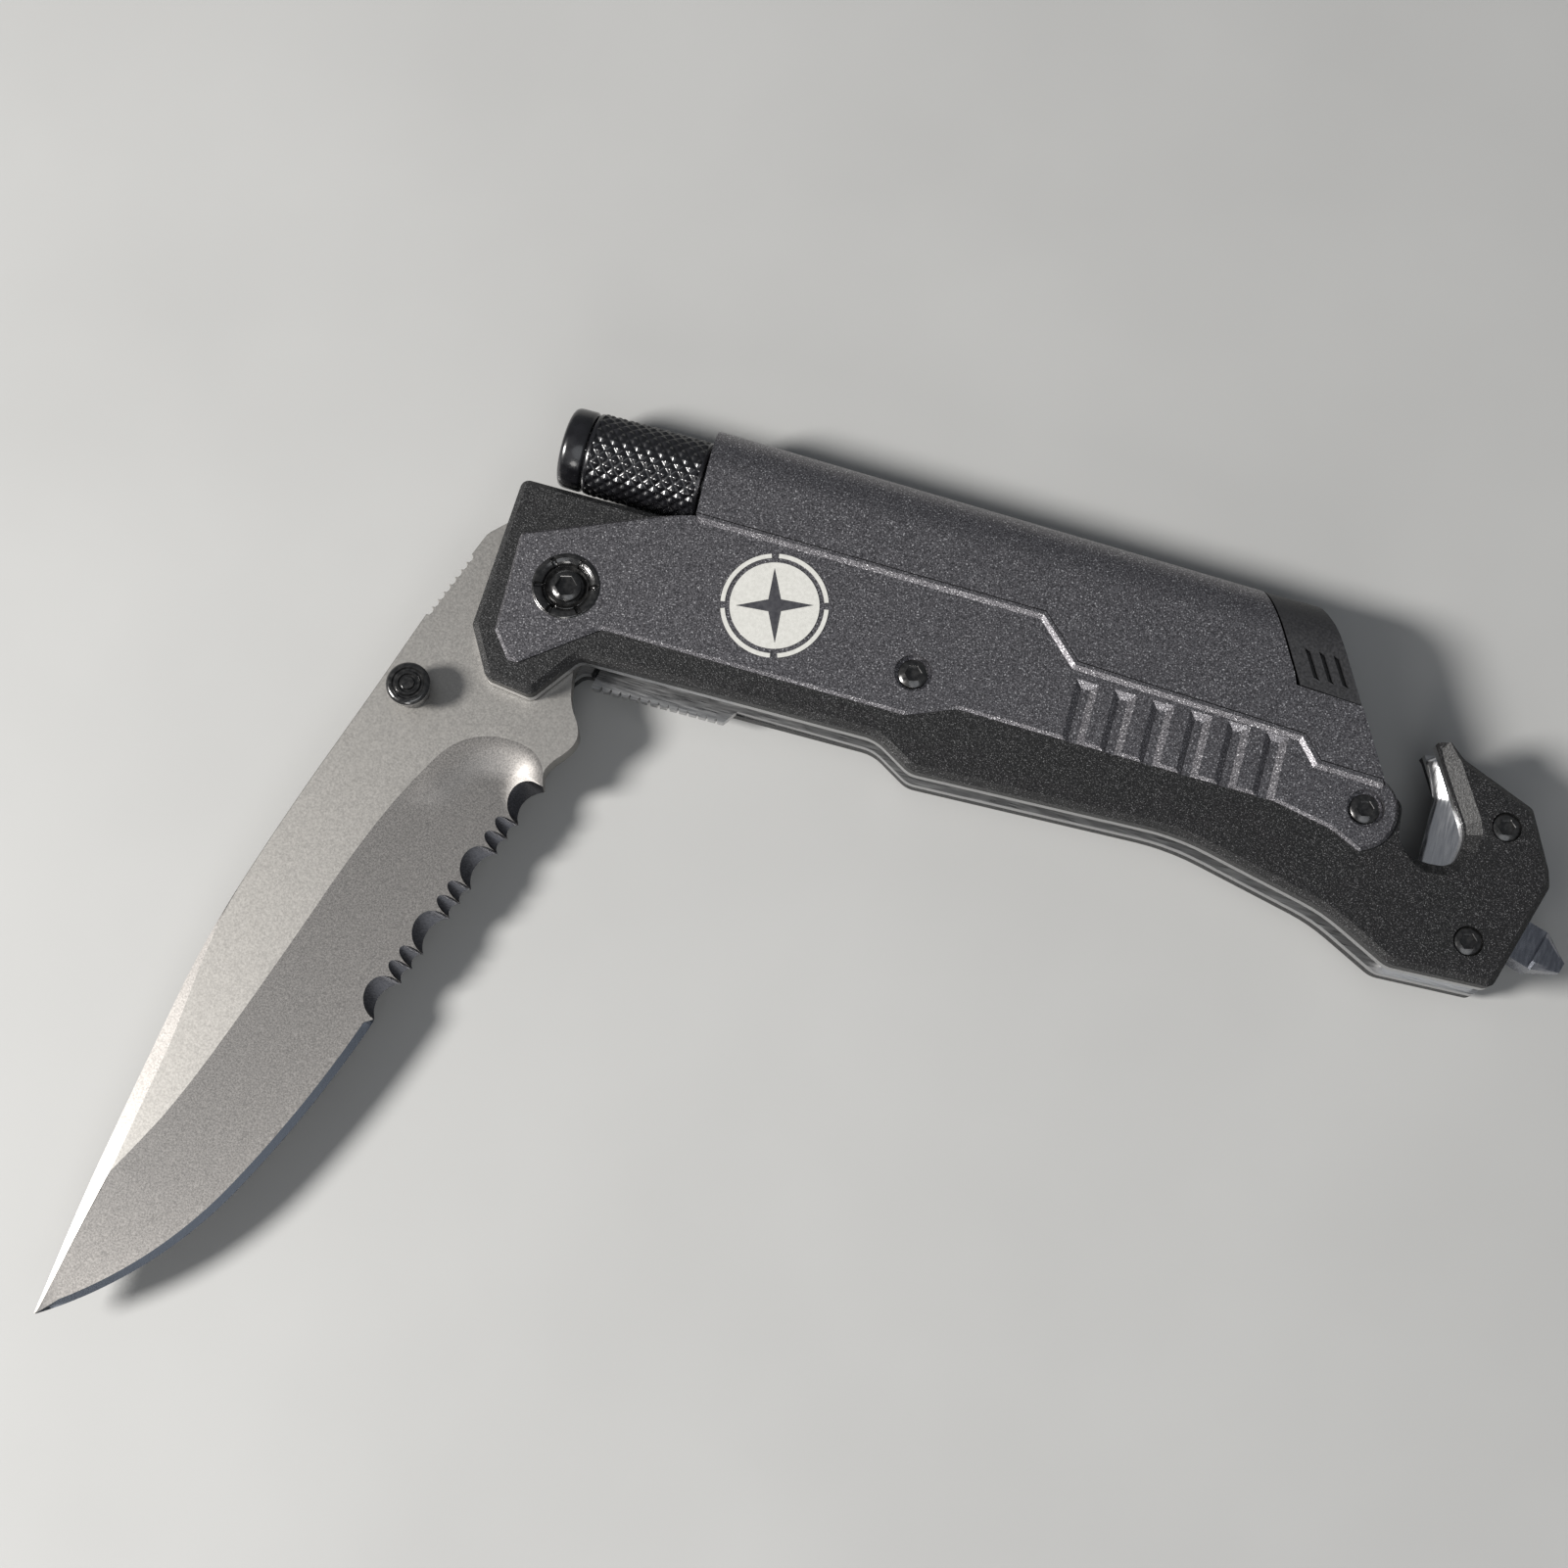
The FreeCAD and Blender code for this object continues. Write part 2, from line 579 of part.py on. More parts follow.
def make_socket(place, low, radius="Sizes.socket_radius"):
    socket = doc.addObject("Part::Prism", "socket")
    socket.Polygon = 6
    socket.Placement = Placement(Vector(place[0], place[1], 0), Rotation())
    socket.setExpression("Placement.Base.z", low)
    socket.setExpression("Circumradius", radius)
    socket.setExpression("Height", "Sizes.overall_thickness")
    return socket


def make_screw(name, place, face, seat, tip):
    """Socket screw: its head lies in a seat below the face, its shank reaches down to tip."""
    head_low = face + " - " + seat
    head_height = seat + " - Sizes.head_sink"
    head = make_disc(name + "_head", place, head_low, "Sizes.screw_head_radius", head_height)
    length = head_low + " - (" + tip + ")"
    shank = make_disc(name + "_shank", place, tip, "Sizes.shank_radius", length)
    solid = doc.addObject("Part::Fuse", name + "_solid")
    solid.Base = head
    solid.Tool = shank
    socket = make_socket(place, head_low + " + Sizes.socket_floor")
    return make_cut(name, solid, [socket])


def build_screws():
    """Screws of the left side; those of the right side are their mirror image."""
    inlay_screws = [
        make_screw("middle_screw", MIDDLE_SCREW, INLAY_FACE, "Sizes.inlay_seat", LINER_LOW),
        make_screw("rear_screw", REAR_SCREW, INLAY_FACE, "Sizes.inlay_seat", LINER_LOW),
    ]
    butt_screws = []
    for number, place in enumerate(BUTT_SCREWS, 1):
        name = "butt_screw_%d" % number
        tip = MIDDLE + " + 0.1"
        butt_screws.append(make_screw(name, place, SCALE_FACE, "Sizes.butt_seat", tip))
    left_inlay = make_group("left_inlay_screws", inlay_screws)
    left_butt = make_group("left_butt_screws", butt_screws)
    right = [make_mirror(left_inlay, "right_inlay_screws")]
    right.append(make_mirror(left_butt, "right_butt_screws"))
    return [left_inlay, left_butt] + right


def build_washers():
    low = MIDDLE + " + Sizes.blade_thickness / 2"
    ring = make_disc("washer_ring", (0, 0), low, "Sizes.washer_radius", "Sizes.washer_thickness")
    hole = make_disc("washer_hole", (0, 0), low, "Sizes.pivot_radius", "Sizes.liner_thickness")
    left = make_cut("left_washer", ring, [hole])
    return [left, make_mirror(left, "right_washer")]


def build_stop_pin():
    low = "Sizes.middle_height - Sizes.inlay_inner"
    length = "2 * Sizes.inlay_inner"
    return make_disc("stop_pin", STOP_PIN, low, "Sizes.stop_radius", length)


# ---------------------------------------------------------------- spine housing

def build_housing():
    """Spine block, rounded on top, with side skirts, a tongue and two bores."""
    body = make_body("spine_housing")
    block = [(11.8, 12.7), (81.75, 12.7), (76.2, 22.9), (11.1, 24.4)]
    pad = add_pad(body, block, "0", "Sizes.overall_thickness")

    def on_top(point):
        return point.y > 22.0 and min(point.z, size("overall_thickness") - point.z) < 1e-4

    bevel_edges(body, pad, on_top, "spine_rounding", "PartDesign::Fillet")
    left_low = "Sizes.overall_thickness - Sizes.skirt_thickness"
    add_pad(body, skirt_outline(), left_low, "Sizes.skirt_thickness")
    add_pad(body, skirt_outline(), "0", "Sizes.skirt_thickness")
    tongue = [(15.0, 10.4, 0.5), (74.0, 10.4, 0.5), (74.0, 13.0), (15.0, 13.0)]
    low = MIDDLE + " - Sizes.tongue_thickness / 2"
    pins = [(x, y, "pin_radius") for x, y in HOUSING_PINS]
    add_pad(body, tongue, low, "Sizes.tongue_thickness", pins)
    axis = (size("lamp_axis_spine"), size("middle_height"))
    lamp = [(axis[0], axis[1], "lamp_bore_radius")]
    add_pocket(body, [], str(LAMP_BORE_END), "40", lamp, "YZ_Plane")
    rod = [(axis[0], axis[1], "rod_bore_radius")]
    add_pocket(body, [], "90", "40", rod, "YZ_Plane")
    return body


def build_housing_pins():
    low = "Sizes.middle_height - Sizes.inlay_inner"
    length = "2 * Sizes.inlay_inner"
    pins = []
    for number, place in enumerate(HOUSING_PINS, 1):
        pins.append(make_disc("housing_pin_%d" % number, place, low, "Sizes.pin_radius", length))
    return make_group("housing_pins", pins)


# ---------------------------------------------------------------- flashlight

def build_lamp_head():
    """Knurled sleeve, bezel, lens, reflector and lamp chip: the part that twists."""
    sleeve_rod = make_rod("sleeve_rod", HEAD_START, "Sizes.lamp_head_radius", "Sizes.sleeve_length")
    bore_length = str(NECK_START - HEAD_START)
    sleeve_bore = make_rod("sleeve_bore", HEAD_START, "Sizes.cup_radius", bore_length)
    seat_radius = "Sizes.neck_radius + Sizes.neck_play"
    sleeve_seat = make_rod("sleeve_seat", NECK_START, seat_radius, "Sizes.sleeve_length")
    sleeve = make_cut("lamp_head_sleeve", sleeve_rod, [sleeve_bore, sleeve_seat])
    bezel_rod = make_rod("bezel_rod", BEZEL_START, "Sizes.lamp_head_radius - 0.1", "Sizes.bezel_length")
    bezel_bore = make_rod("bezel_bore", BEZEL_START, "Sizes.bezel_opening", "Sizes.bezel_length")
    bezel_seat = make_rod("bezel_seat", LENS_START, "Sizes.lens_radius", "Sizes.bezel_length")
    bezel = make_cut("lamp_bezel", bezel_rod, [bezel_bore, bezel_seat])
    lens = make_rod("lamp_lens", LENS_START, "Sizes.lens_radius", "Sizes.lens_thickness")
    cup_rod = make_rod("cup_rod", HEAD_START, "Sizes.cup_radius", "Sizes.cup_depth")
    cup = doc.addObject("Part::Cone", "cup_hollow")
    cup.Placement = Placement(Vector(HEAD_START, 0, 0), Rotation(Vector(0, 1, 0), 90))
    cup.setExpression("Placement.Base.y", "Sizes.lamp_axis_spine")
    cup.setExpression("Placement.Base.z", MIDDLE)
    cup.setExpression("Radius1", "Sizes.cup_radius - 0.4")
    cup.setExpression("Radius2", "Sizes.chip_radius + 0.3")
    cup.setExpression("Height", "Sizes.cup_depth")
    reflector = make_cut("lamp_reflector", cup_rod, [cup])
    chip = make_rod("lamp_chip", CHIP_START, "Sizes.chip_radius", "Sizes.board_thickness")
    board = make_rod("lamp_board", BOARD_START, "Sizes.board_radius", "Sizes.board_thickness")
    return [sleeve, bezel, lens, reflector, chip, board]


def build_lamp_tube():
    """Threaded neck and barrel with the cells, spring and tail cap inside."""
    neck_low = NECK_START + 0.05
    neck = make_rod("lamp_neck", neck_low, "Sizes.neck_radius", str(TUBE_START + 0.1 - neck_low))
    tube_length = str(TAIL_START - TUBE_START)
    tube_rod = make_rod("tube_rod", TUBE_START, "Sizes.lamp_tube_radius", tube_length)
    solid = doc.addObject("Part::Fuse", "tube_solid")
    solid.Base = neck
    solid.Tool = tube_rod
    inner_radius = "Sizes.lamp_tube_radius - Sizes.lamp_tube_wall"
    bore = make_rod("tube_bore", TUBE_FLOOR, inner_radius, tube_length)
    way_radius = "Sizes.contact_radius + Sizes.contact_play"
    contact_way = make_rod("contact_way", CONTACT_START, way_radius, tube_length)
    tube = make_cut("lamp_tube", solid, [bore, contact_way])
    contact_length = str(CONTACT_END - CONTACT_START)
    contact = make_rod("lamp_contact", CONTACT_START, "Sizes.contact_radius", contact_length)
    cells = []
    for number in range(int(size("cell_count"))):
        start = CONTACT_END + number * (size("cell_height") + size("cell_gap"))
        cells.append(make_rod("cell_%d" % (number + 1), start, "Sizes.cell_radius", "Sizes.cell_height"))
    spring = build_spring(SPRING_START, SPRING_END)
    spacer = make_rod("lamp_spacer", SPACER_START, "Sizes.cell_radius", str(SPACER_END - SPACER_START))
    cap = make_rod("lamp_tail_cap", TAIL_START, "Sizes.lamp_tube_radius", "Sizes.tail_cap_length")
    return [tube, contact, make_group("button_cells", cells), spring, spacer, cap]


def build_spring(start, end):
    """Zigzag leaf spring that presses the cells against the contact."""
    folds = 6
    reach = 2.4
    leaf = 0.35
    step = (end - start - leaf) / folds
    axis = size("lamp_axis_spine")
    points = [(start + step * fold, axis + reach * (-1) ** fold) for fold in range(folds + 1)]
    back = [(x + leaf, y) for x, y in reversed(points)]
    body = make_body("lamp_spring")
    add_pad(body, points + back, MIDDLE + " - Sizes.spring_width / 2", "Sizes.spring_width")
    return body


# ---------------------------------------------------------------- fire starter

def build_fire_starter():
    """Black grip block that closes the housing's rear, and the rod that it carries."""
    body = make_body("fire_starter_handle")
    width = size("overall_thickness")
    bottom, top = 10.5, 22.87
    shoulder = top - width / 2
    crown = (shoulder, 0, top, width / 2)
    section = [(bottom, 0), (bottom, width), (shoulder, width), crown]
    add_pad(body, section, "75", "17", plane="YZ_Plane")
    grip = [(82.75, 11.5), (89.85, 11.05), (85.3, 19.3, 1.5), (82.6, 23.2, 0.8), (76.3, 23.2)]
    around = [(74, 5), (93, 5), (93, 25), (74, 25)]
    add_pocket(body, around, "Sizes.overall_thickness", "Sizes.overall_thickness", island=grip)
    slots, first, pitch, depth = 3, 82.2, 1.65, "0.7"
    for number in range(slots):
        x = first + pitch * number
        slot = [(x, 15.8), (x + 0.75, 15.6), (x + 2.5, 12.5), (x + 1.75, 12.7)]
        add_pocket(body, slot, "Sizes.overall_thickness", depth)
        add_pocket(body, slot, "0", depth, reverse=True)
    bore = [(size("lamp_axis_spine"), size("middle_height"), "rod_radius")]
    add_pocket(body, [], str(ROD_END), "9", bore, "YZ_Plane")
    rod = make_rod("ferro_rod", ROD_START, "Sizes.rod_radius", str(ROD_END - ROD_START))
    return [body, rod]


# ---------------------------------------------------------------- butt tools

def build_strap_cutter():
    """Hooked steel blade inside the butt: its edge faces the mouth of the notch."""
    body = make_body("strap_cutter")
    edge = [(101.0, -5.6), (101.3, 4.5, 1.5), (99.1, 9.2, 0.3)]
    back = [(100.9, 9.5, 0.3), (108.0, 6.3), (110.8, 4.9), (113.7, -1.0), (112.7, -5.6)]
    low = MIDDLE + " - Sizes.cutter_thickness / 2"
    holes = [(BUTT_SCREWS[0][0], BUTT_SCREWS[0][1], "shank_radius")]
    add_pad(body, edge + back, low, "Sizes.cutter_thickness", holes)
    return body


def build_rear_spacer():
    """Steel spacer between the liners at the butt, slotted for the glass breaker."""
    body = make_body("rear_spacer")
    outline = [(99.6, -15.9, 1), (110.6, -15.2, 0.5), (112.3, -9.6), (112.5, -5.8), (101.2, -5.8, 1)]
    low = MIDDLE + " - Sizes.spacer_thickness / 2"
    holes = [(BUTT_SCREWS[1][0], BUTT_SCREWS[1][1], "shank_radius")]
    add_pad(body, outline, low, "Sizes.spacer_thickness", holes)
    return body


def build_glass_breaker():
    """Square hardened bar across the butt's lower corner, tapered to a blunt point."""
    body = make_body("glass_breaker")
    half = size("breaker_width") / 2
    middle = size("middle_height")
    corner = 0.8
    thin = size("spacer_thickness") / 2 - 0.02
    tang = [(half, middle + thin), (-half, middle + thin), (-half, middle - thin), (half, middle - thin)]
    square = []
    for y_side, z_side in ((1, 1), (-1, 1), (-1, -1), (1, -1)):
        near = (y_side * half, middle + z_side * (half - corner))
        far = (y_side * (half - corner), middle + z_side * half)
        square += [near, far] if y_side * z_side > 0 else [far, near]
    add_pad(body, tang, "0.1", "2.9", plane="YZ_Plane")
    add_pad(body, square, "2.9", "0.4", plane="YZ_Plane")
    point_angle = -28
    add_pad(body, square, "3.2", "3.2", plane="YZ_Plane", taper=point_angle)
    body.Placement = BREAKER_PLACEMENT
    return body


# ---------------------------------------------------------------- whole knife

def build_knife():
    pieces = [build_blade()] + build_thumb_studs()
    scale = build_scale()
    inlay = build_inlay()
    pieces += [scale, make_mirror(scale, "right_scale")]
    pieces += [inlay, make_mirror(inlay, "right_inlay")]
    pieces += [build_liner("left_liner"), build_right_liner(), build_lock_bar()]
    pieces += build_pivot() + build_washers() + [build_stop_pin()] + build_screws()
    pieces += [build_housing(), build_housing_pins()]
    pieces += build_lamp_head() + build_lamp_tube() + build_fire_starter()
    pieces += [build_strap_cutter(), build_rear_spacer(), build_glass_breaker()]
    return pieces


def check(pieces):
    doc.recompute()
    for thing in doc.Objects:
        bad = [state for state in thing.State if state in ("Invalid", "Error")]
        if bad:
            raise RuntimeError("%s is %s" % (thing.Label, bad))
    for piece in pieces:
        if piece.Shape.isNull() or not piece.Shape.isValid():
            raise RuntimeError(piece.Label + " has no valid shape")


def write(pieces):
    os.makedirs("parts", exist_ok=True)
    for piece in pieces:
        piece.Shape.exportStep("parts/%s.step" % piece.Label)
        box = piece.Shape.BoundBox
        print("%-22s %9.1f mm3  x %.1f..%.1f  y %.1f..%.1f  z %.2f..%.2f" % (
            piece.Label, piece.Shape.Volume, box.XMin, box.XMax,
            box.YMin, box.YMax, box.ZMin, box.ZMax))


knife = build_knife()
check(knife)
write(knife)
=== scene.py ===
# %% [markdown]
# A folding rescue knife, half open on a pale table. The CAD frame already holds every real part at its
# real size, so this file adds what a machinist's drawing leaves out: the ground faces of the blade, the
# knurl on the light, the turned rings, and a finish for each metal and plastic. The frame is loaded first
# because every new piece is placed in its row frame: +X to the butt, +Y to the spine, +Z to the viewer.

# %% Load the frame
import math
import bpy
import bmesh
from mathutils import Matrix, Vector


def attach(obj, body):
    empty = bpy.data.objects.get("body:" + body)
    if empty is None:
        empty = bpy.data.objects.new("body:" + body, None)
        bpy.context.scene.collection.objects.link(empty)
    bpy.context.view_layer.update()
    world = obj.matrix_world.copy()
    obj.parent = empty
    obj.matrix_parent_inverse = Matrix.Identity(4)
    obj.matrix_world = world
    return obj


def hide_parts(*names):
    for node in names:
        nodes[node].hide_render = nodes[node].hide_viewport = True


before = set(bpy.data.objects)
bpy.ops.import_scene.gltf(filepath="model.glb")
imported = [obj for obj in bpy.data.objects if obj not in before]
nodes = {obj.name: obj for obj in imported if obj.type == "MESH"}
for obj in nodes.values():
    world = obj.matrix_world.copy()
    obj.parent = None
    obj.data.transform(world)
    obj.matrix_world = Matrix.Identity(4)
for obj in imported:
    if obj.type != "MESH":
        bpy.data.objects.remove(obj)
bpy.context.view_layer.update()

MM = 0.001
print("CAD nodes:", len(nodes))

# %% [markdown]
# Drawings are in millimetres and Blender is in metres, so one helper turns a list of points and faces into
# an object. It also marks the creases: an edge sharper than the given angle stays crisp, and the others
# are smoothed. A bevel modifier could soften everything, but a knife reads as machined metal only if its
# real corners stay corners. Two more helpers join points that are laid out in rings or in columns.

# %% Turning points into a piece
def make_piece(name, points, faces, crease=25):
    mesh = bpy.data.meshes.new(name)
    mesh.from_pydata([Vector(point) * MM for point in points], [], faces)
    form = bmesh.new()
    form.from_mesh(mesh)
    bmesh.ops.remove_doubles(form, verts=form.verts, dist=1e-7)
    bmesh.ops.recalc_face_normals(form, faces=form.faces)
    for face in form.faces:
        face.smooth = True
    for edge in form.edges:
        if len(edge.link_faces) == 2:
            edge.smooth = edge.calc_face_angle(0) < math.radians(crease)
    form.to_mesh(mesh)
    form.free()
    piece = bpy.data.objects.new(name, mesh)
    bpy.context.scene.collection.objects.link(piece)
    return piece


def ring_faces(rings, segments):
    """Faces between neighbouring rings of points. The last ring joins the first."""
    faces = []
    for ring in range(rings):
        near, far = ring * segments, (ring + 1) % rings * segments
        for number in range(segments):
            after = (number + 1) % segments
            faces.append([near + number, near + after, far + after, far + number])
    return faces


def swept_faces(columns, rows):
    """Left face, right face and rim of a grid whose points come in pairs, left then right."""
    faces = []
    for column in range(columns - 1):
        for row in range(rows - 1):
            near, far = 2 * (column * rows + row), 2 * ((column + 1) * rows + row)
            for side in (0, 1):
                faces.append([near + side, near + 2 + side, far + 2 + side, far + side])
        for row in (0, rows - 1):
            near, far = 2 * (column * rows + row), 2 * ((column + 1) * rows + row)
            faces.append([near, far, far + 1, near + 1])
    for column in (0, columns - 1):
        for row in range(rows - 1):
            near = 2 * (column * rows + row)
            faces.append([near, near + 2, near + 3, near + 1])
    return faces


def settle(piece, body, slot, *stands_for):
    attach(piece, body)
    if stands_for:
        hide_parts(*stands_for)
    print(piece.name, len(piece.data.polygons), "faces")


# %% [markdown]
# Each finish is a Principled shader with its own grain. The grain is a noise in object coordinates, so it
# has a true size in millimetres and stays put when the piece turns. These helpers make the noise, turn it
# into a two-colour mix or a bump, and leave the shader's plain numbers on its own sockets.

# %% Helpers for finishes
def new_finish(name, metallic, colour=None, roughness=None, coat=0.0):
    """Colour and roughness are given only where no noise sets them afterwards."""
    finish = bpy.data.materials.new(name)
    finish.use_nodes = True
    tree = finish.node_tree
    shader = tree.nodes["Principled BSDF"]
    shader.inputs["Metallic"].default_value = metallic
    if colour is not None:
        shader.inputs["Base Color"].default_value = (*colour, 1)
    if roughness is not None:
        shader.inputs["Roughness"].default_value = roughness
    shader.inputs["Coat Weight"].default_value = coat
    shader.inputs["Coat Roughness"].default_value = 0.12
    return finish


def add_noise(finish, size_mm, stretch=(1, 1, 1), detail=2.0):
    tree = finish.node_tree
    where = tree.nodes.new("ShaderNodeTexCoord")
    mapping = tree.nodes.new("ShaderNodeMapping")
    mapping.inputs["Scale"].default_value = [1 / (size_mm * MM * part) for part in stretch]
    noise = tree.nodes.new("ShaderNodeTexNoise")
    noise.inputs["Scale"].default_value = 1.0
    noise.inputs["Detail"].default_value = detail
    tree.links.new(where.outputs["Object"], mapping.inputs["Vector"])
    tree.links.new(mapping.outputs["Vector"], noise.inputs["Vector"])
    return noise.outputs["Fac"]


def add_ramp(finish, value, low, high, first, second):
    tree = finish.node_tree
    ramp = tree.nodes.new("ShaderNodeValToRGB")
    ramp.color_ramp.elements[0].position = low
    ramp.color_ramp.elements[1].position = high
    ramp.color_ramp.elements[0].color = (*first, 1)
    ramp.color_ramp.elements[1].color = (*second, 1)
    tree.links.new(value, ramp.inputs["Fac"])
    return ramp.outputs["Color"]


def tint(finish, value, low, high, first, second):
    colour = add_ramp(finish, value, low, high, first, second)
    shader = finish.node_tree.nodes["Principled BSDF"]
    finish.node_tree.links.new(colour, shader.inputs["Base Color"])
    return colour.node.color_ramp


def vary_roughness(finish, value, smooth, rough):
    tree = finish.node_tree
    span = tree.nodes.new("ShaderNodeMapRange")
    span.inputs["From Min"].default_value = 0.3
    span.inputs["From Max"].default_value = 0.7
    span.inputs["To Min"].default_value = smooth
    span.inputs["To Max"].default_value = rough
    tree.links.new(value, span.inputs["Value"])
    tree.links.new(span.outputs["Result"], tree.nodes["Principled BSDF"].inputs["Roughness"])


def emboss(finish, value, depth_mm, strength):
    tree = finish.node_tree
    bump = tree.nodes.new("ShaderNodeBump")
    bump.inputs["Distance"].default_value = depth_mm * MM
    bump.inputs["Strength"].default_value = strength
    tree.links.new(value, bump.inputs["Height"])
    tree.links.new(bump.outputs["Normal"], tree.nodes["Principled BSDF"].inputs["Normal"])


# %% [markdown]
# The blade is one steel with four surfaces. Its flats are bead-blasted, which is an even, matt, pale
# grey with a grain of about a quarter millimetre. The main bevels are blasted too, with a finer grain;
# their darker tone is painted shade, since they face away from the light, and the swedge shares their
# finish. The edge is ground after blasting, so it is smooth and shows fine grinding lines; its dark
# blue-grey colour is painted shade. The serration facets are painted darker still, as painted shade on
# faces that turn away from the light. One mesh with four finishes says this more simply than one finish
# with masks.

# %% Blade steel
blasted = new_finish("blade_blasted", 1.0)
grit = add_noise(blasted, 0.22, detail=3)
tint(blasted, grit, 0.30, 0.70, (0.350, 0.337, 0.319), (0.400, 0.386, 0.365))
vary_roughness(blasted, grit, 0.42, 0.48)
emboss(blasted, grit, 0.02, 0.2)

# Painted shade: these greys are darker than the flats' because the bevels face away from the light; the finer
# grain is the bevel's own.
bevelled = new_finish("blade_bevel_painted_shade", 1.0)
bevel_grit = add_noise(bevelled, 0.18, detail=3)
tint(bevelled, bevel_grit, 0.30, 0.70, (0.255, 0.243, 0.232), (0.315, 0.300, 0.287))
vary_roughness(bevelled, bevel_grit, 0.36, 0.46)
emboss(bevelled, bevel_grit, 0.012, 0.3)

# Painted shade: the very dark blue-grey of the edge stands for shade on a bevel that faces away from the
# light; the grinding lines are real.
ground = new_finish("ground_edge_painted_shade", 1.0)
lines = add_noise(ground, 0.10, (1, 6, 6), 2)
tint(ground, lines, 0.3, 0.7, (0.060, 0.066, 0.078), (0.078, 0.086, 0.100))
vary_roughness(ground, lines, 0.26, 0.32)
emboss(ground, lines, 0.002, 0.05)

# Painted shade: the near-black of the serration facets stands for shade on faces that turn away from the
# light.
facet_painted_shade = new_finish("serration_facet_painted_shade", 1.0)
facet_lines = add_noise(facet_painted_shade, 0.12, (5, 1, 1), 2)
tint(facet_painted_shade, facet_lines, 0.3, 0.7, (0.055, 0.055, 0.060), (0.095, 0.095, 0.102))
vary_roughness(facet_painted_shade, facet_lines, 0.32, 0.44)
emboss(facet_painted_shade, facet_lines, 0.004, 0.2)

# %% [markdown]
# The black scales are cast aluminium with a fine textured powder coat. Powder coat has a tight orange
# peel, which is a bump about a quarter of a millimetre across. It catches light as tiny points, and these
# are painted glints: a sparse scatter of paler specks in its colour. The gunmetal inlays and the housing
# have a metallic paint: a dark violet grey with fine aluminium flakes, which turns almost black where it
# curves away from the light.

# %% Powder coat and metallic paint
powder = new_finish("black_powder_coat", 0.0)
powder.node_tree.nodes["Principled BSDF"].inputs["Specular IOR Level"].default_value = 0.36
peel = add_noise(powder, 0.24, detail=4)
# Painted glints: the paler specks stand for points of light on the coat.
painted_glints = add_noise(powder, 0.12, detail=1)
tint(powder, painted_glints, 0.60, 0.76, (0.005, 0.005, 0.0053), (0.13, 0.13, 0.133))
vary_roughness(powder, peel, 0.38, 0.60)
emboss(powder, peel, 0.08, 0.9)

gunmetal = new_finish("gunmetal_paint", 0.92, coat=0.1)
flake = add_noise(gunmetal, 0.17, detail=2)
flakes = tint(gunmetal, flake, 0.36, 0.64, (0.080, 0.077, 0.083), (0.25, 0.243, 0.258))
flakes.elements.new(0.70).color = (0.85, 0.84, 0.85, 1)
vary_roughness(gunmetal, add_noise(gunmetal, 0.30, detail=2), 0.30, 0.46)
emboss(gunmetal, flake, 0.03, 0.7)

# %% [markdown]
# Small hardware: black oxide on the screws, pivot and thumb studs; gloss black anodising on the light;
# textured black plastic on the fire starter's grip; polished stainless steel on the strap cutter; dark
# hardened steel on the glass breaker; and plain ground steel for liners and pins.

# %% Hardware finishes
oxide = new_finish("black_oxide", 0.9, coat=0.4)
wear = add_noise(oxide, 0.5, detail=3)
tint(oxide, wear, 0.35, 0.75, (0.042, 0.042, 0.043), (0.092, 0.090, 0.088))
vary_roughness(oxide, wear, 0.18, 0.30)
emboss(oxide, wear, 0.004, 0.2)

anodised = new_finish("black_anodised", 0.2, coat=0.35)
cloud = add_noise(anodised, 1.2, detail=3)
tint(anodised, cloud, 0.3, 0.7, (0.005, 0.005, 0.006), (0.009, 0.009, 0.011))
vary_roughness(anodised, cloud, 0.22, 0.32)
emboss(anodised, add_noise(anodised, 0.15, (1, 1, 1), 2), 0.003, 0.2)

grip = new_finish("textured_plastic", 0.0)
pebble = add_noise(grip, 0.28, detail=3)
tint(grip, pebble, 0.3, 0.75, (0.011, 0.011, 0.012), (0.024, 0.024, 0.026))
vary_roughness(grip, pebble, 0.42, 0.60)
emboss(grip, pebble, 0.05, 0.6)

hardened = new_finish("hardened_steel", 1.0)
scale_marks = add_noise(hardened, 0.3, (1, 4, 4), 3)
tint(hardened, scale_marks, 0.3, 0.7, (0.20, 0.21, 0.24), (0.29, 0.30, 0.335))
vary_roughness(hardened, scale_marks, 0.20, 0.32)

stainless = new_finish("polished_stainless", 1.0)
polish = add_noise(stainless, 0.20, (1, 12, 12), 3)
tint(stainless, polish, 0.3, 0.7, (0.58, 0.58, 0.60), (0.72, 0.72, 0.73))
vary_roughness(stainless, polish, 0.12, 0.24)
emboss(stainless, polish, 0.004, 0.2)

plate = new_finish("ground_liner_steel", 1.0)
grain = add_noise(plate, 0.15, (16, 1, 1), 3)
tint(plate, grain, 0.3, 0.7, (0.36, 0.36, 0.365), (0.52, 0.52, 0.52))
vary_roughness(plate, grain, 0.26, 0.40)
emboss(plate, grain, 0.008, 0.3)

# %% [markdown]
# Parts inside the knife show only when it is taken apart, yet each still gets its true material: bronze
# washers and contact, a clear lens over a chromed reflector, a yellow phosphor dome on a green board,
# nickel-plated cells, and a ferrocerium rod, which is a dull grey-brown metal with file marks. The two
# finishes of the badge, pale enamel and dark ink, are made here too.

# %% Inner finishes and the badge
bronze = new_finish("phosphor_bronze", 1.0)
tarnish = add_noise(bronze, 1.0, detail=4)
tint(bronze, tarnish, 0.3, 0.7, (0.36, 0.21, 0.10), (0.50, 0.31, 0.15))
vary_roughness(bronze, tarnish, 0.25, 0.4)

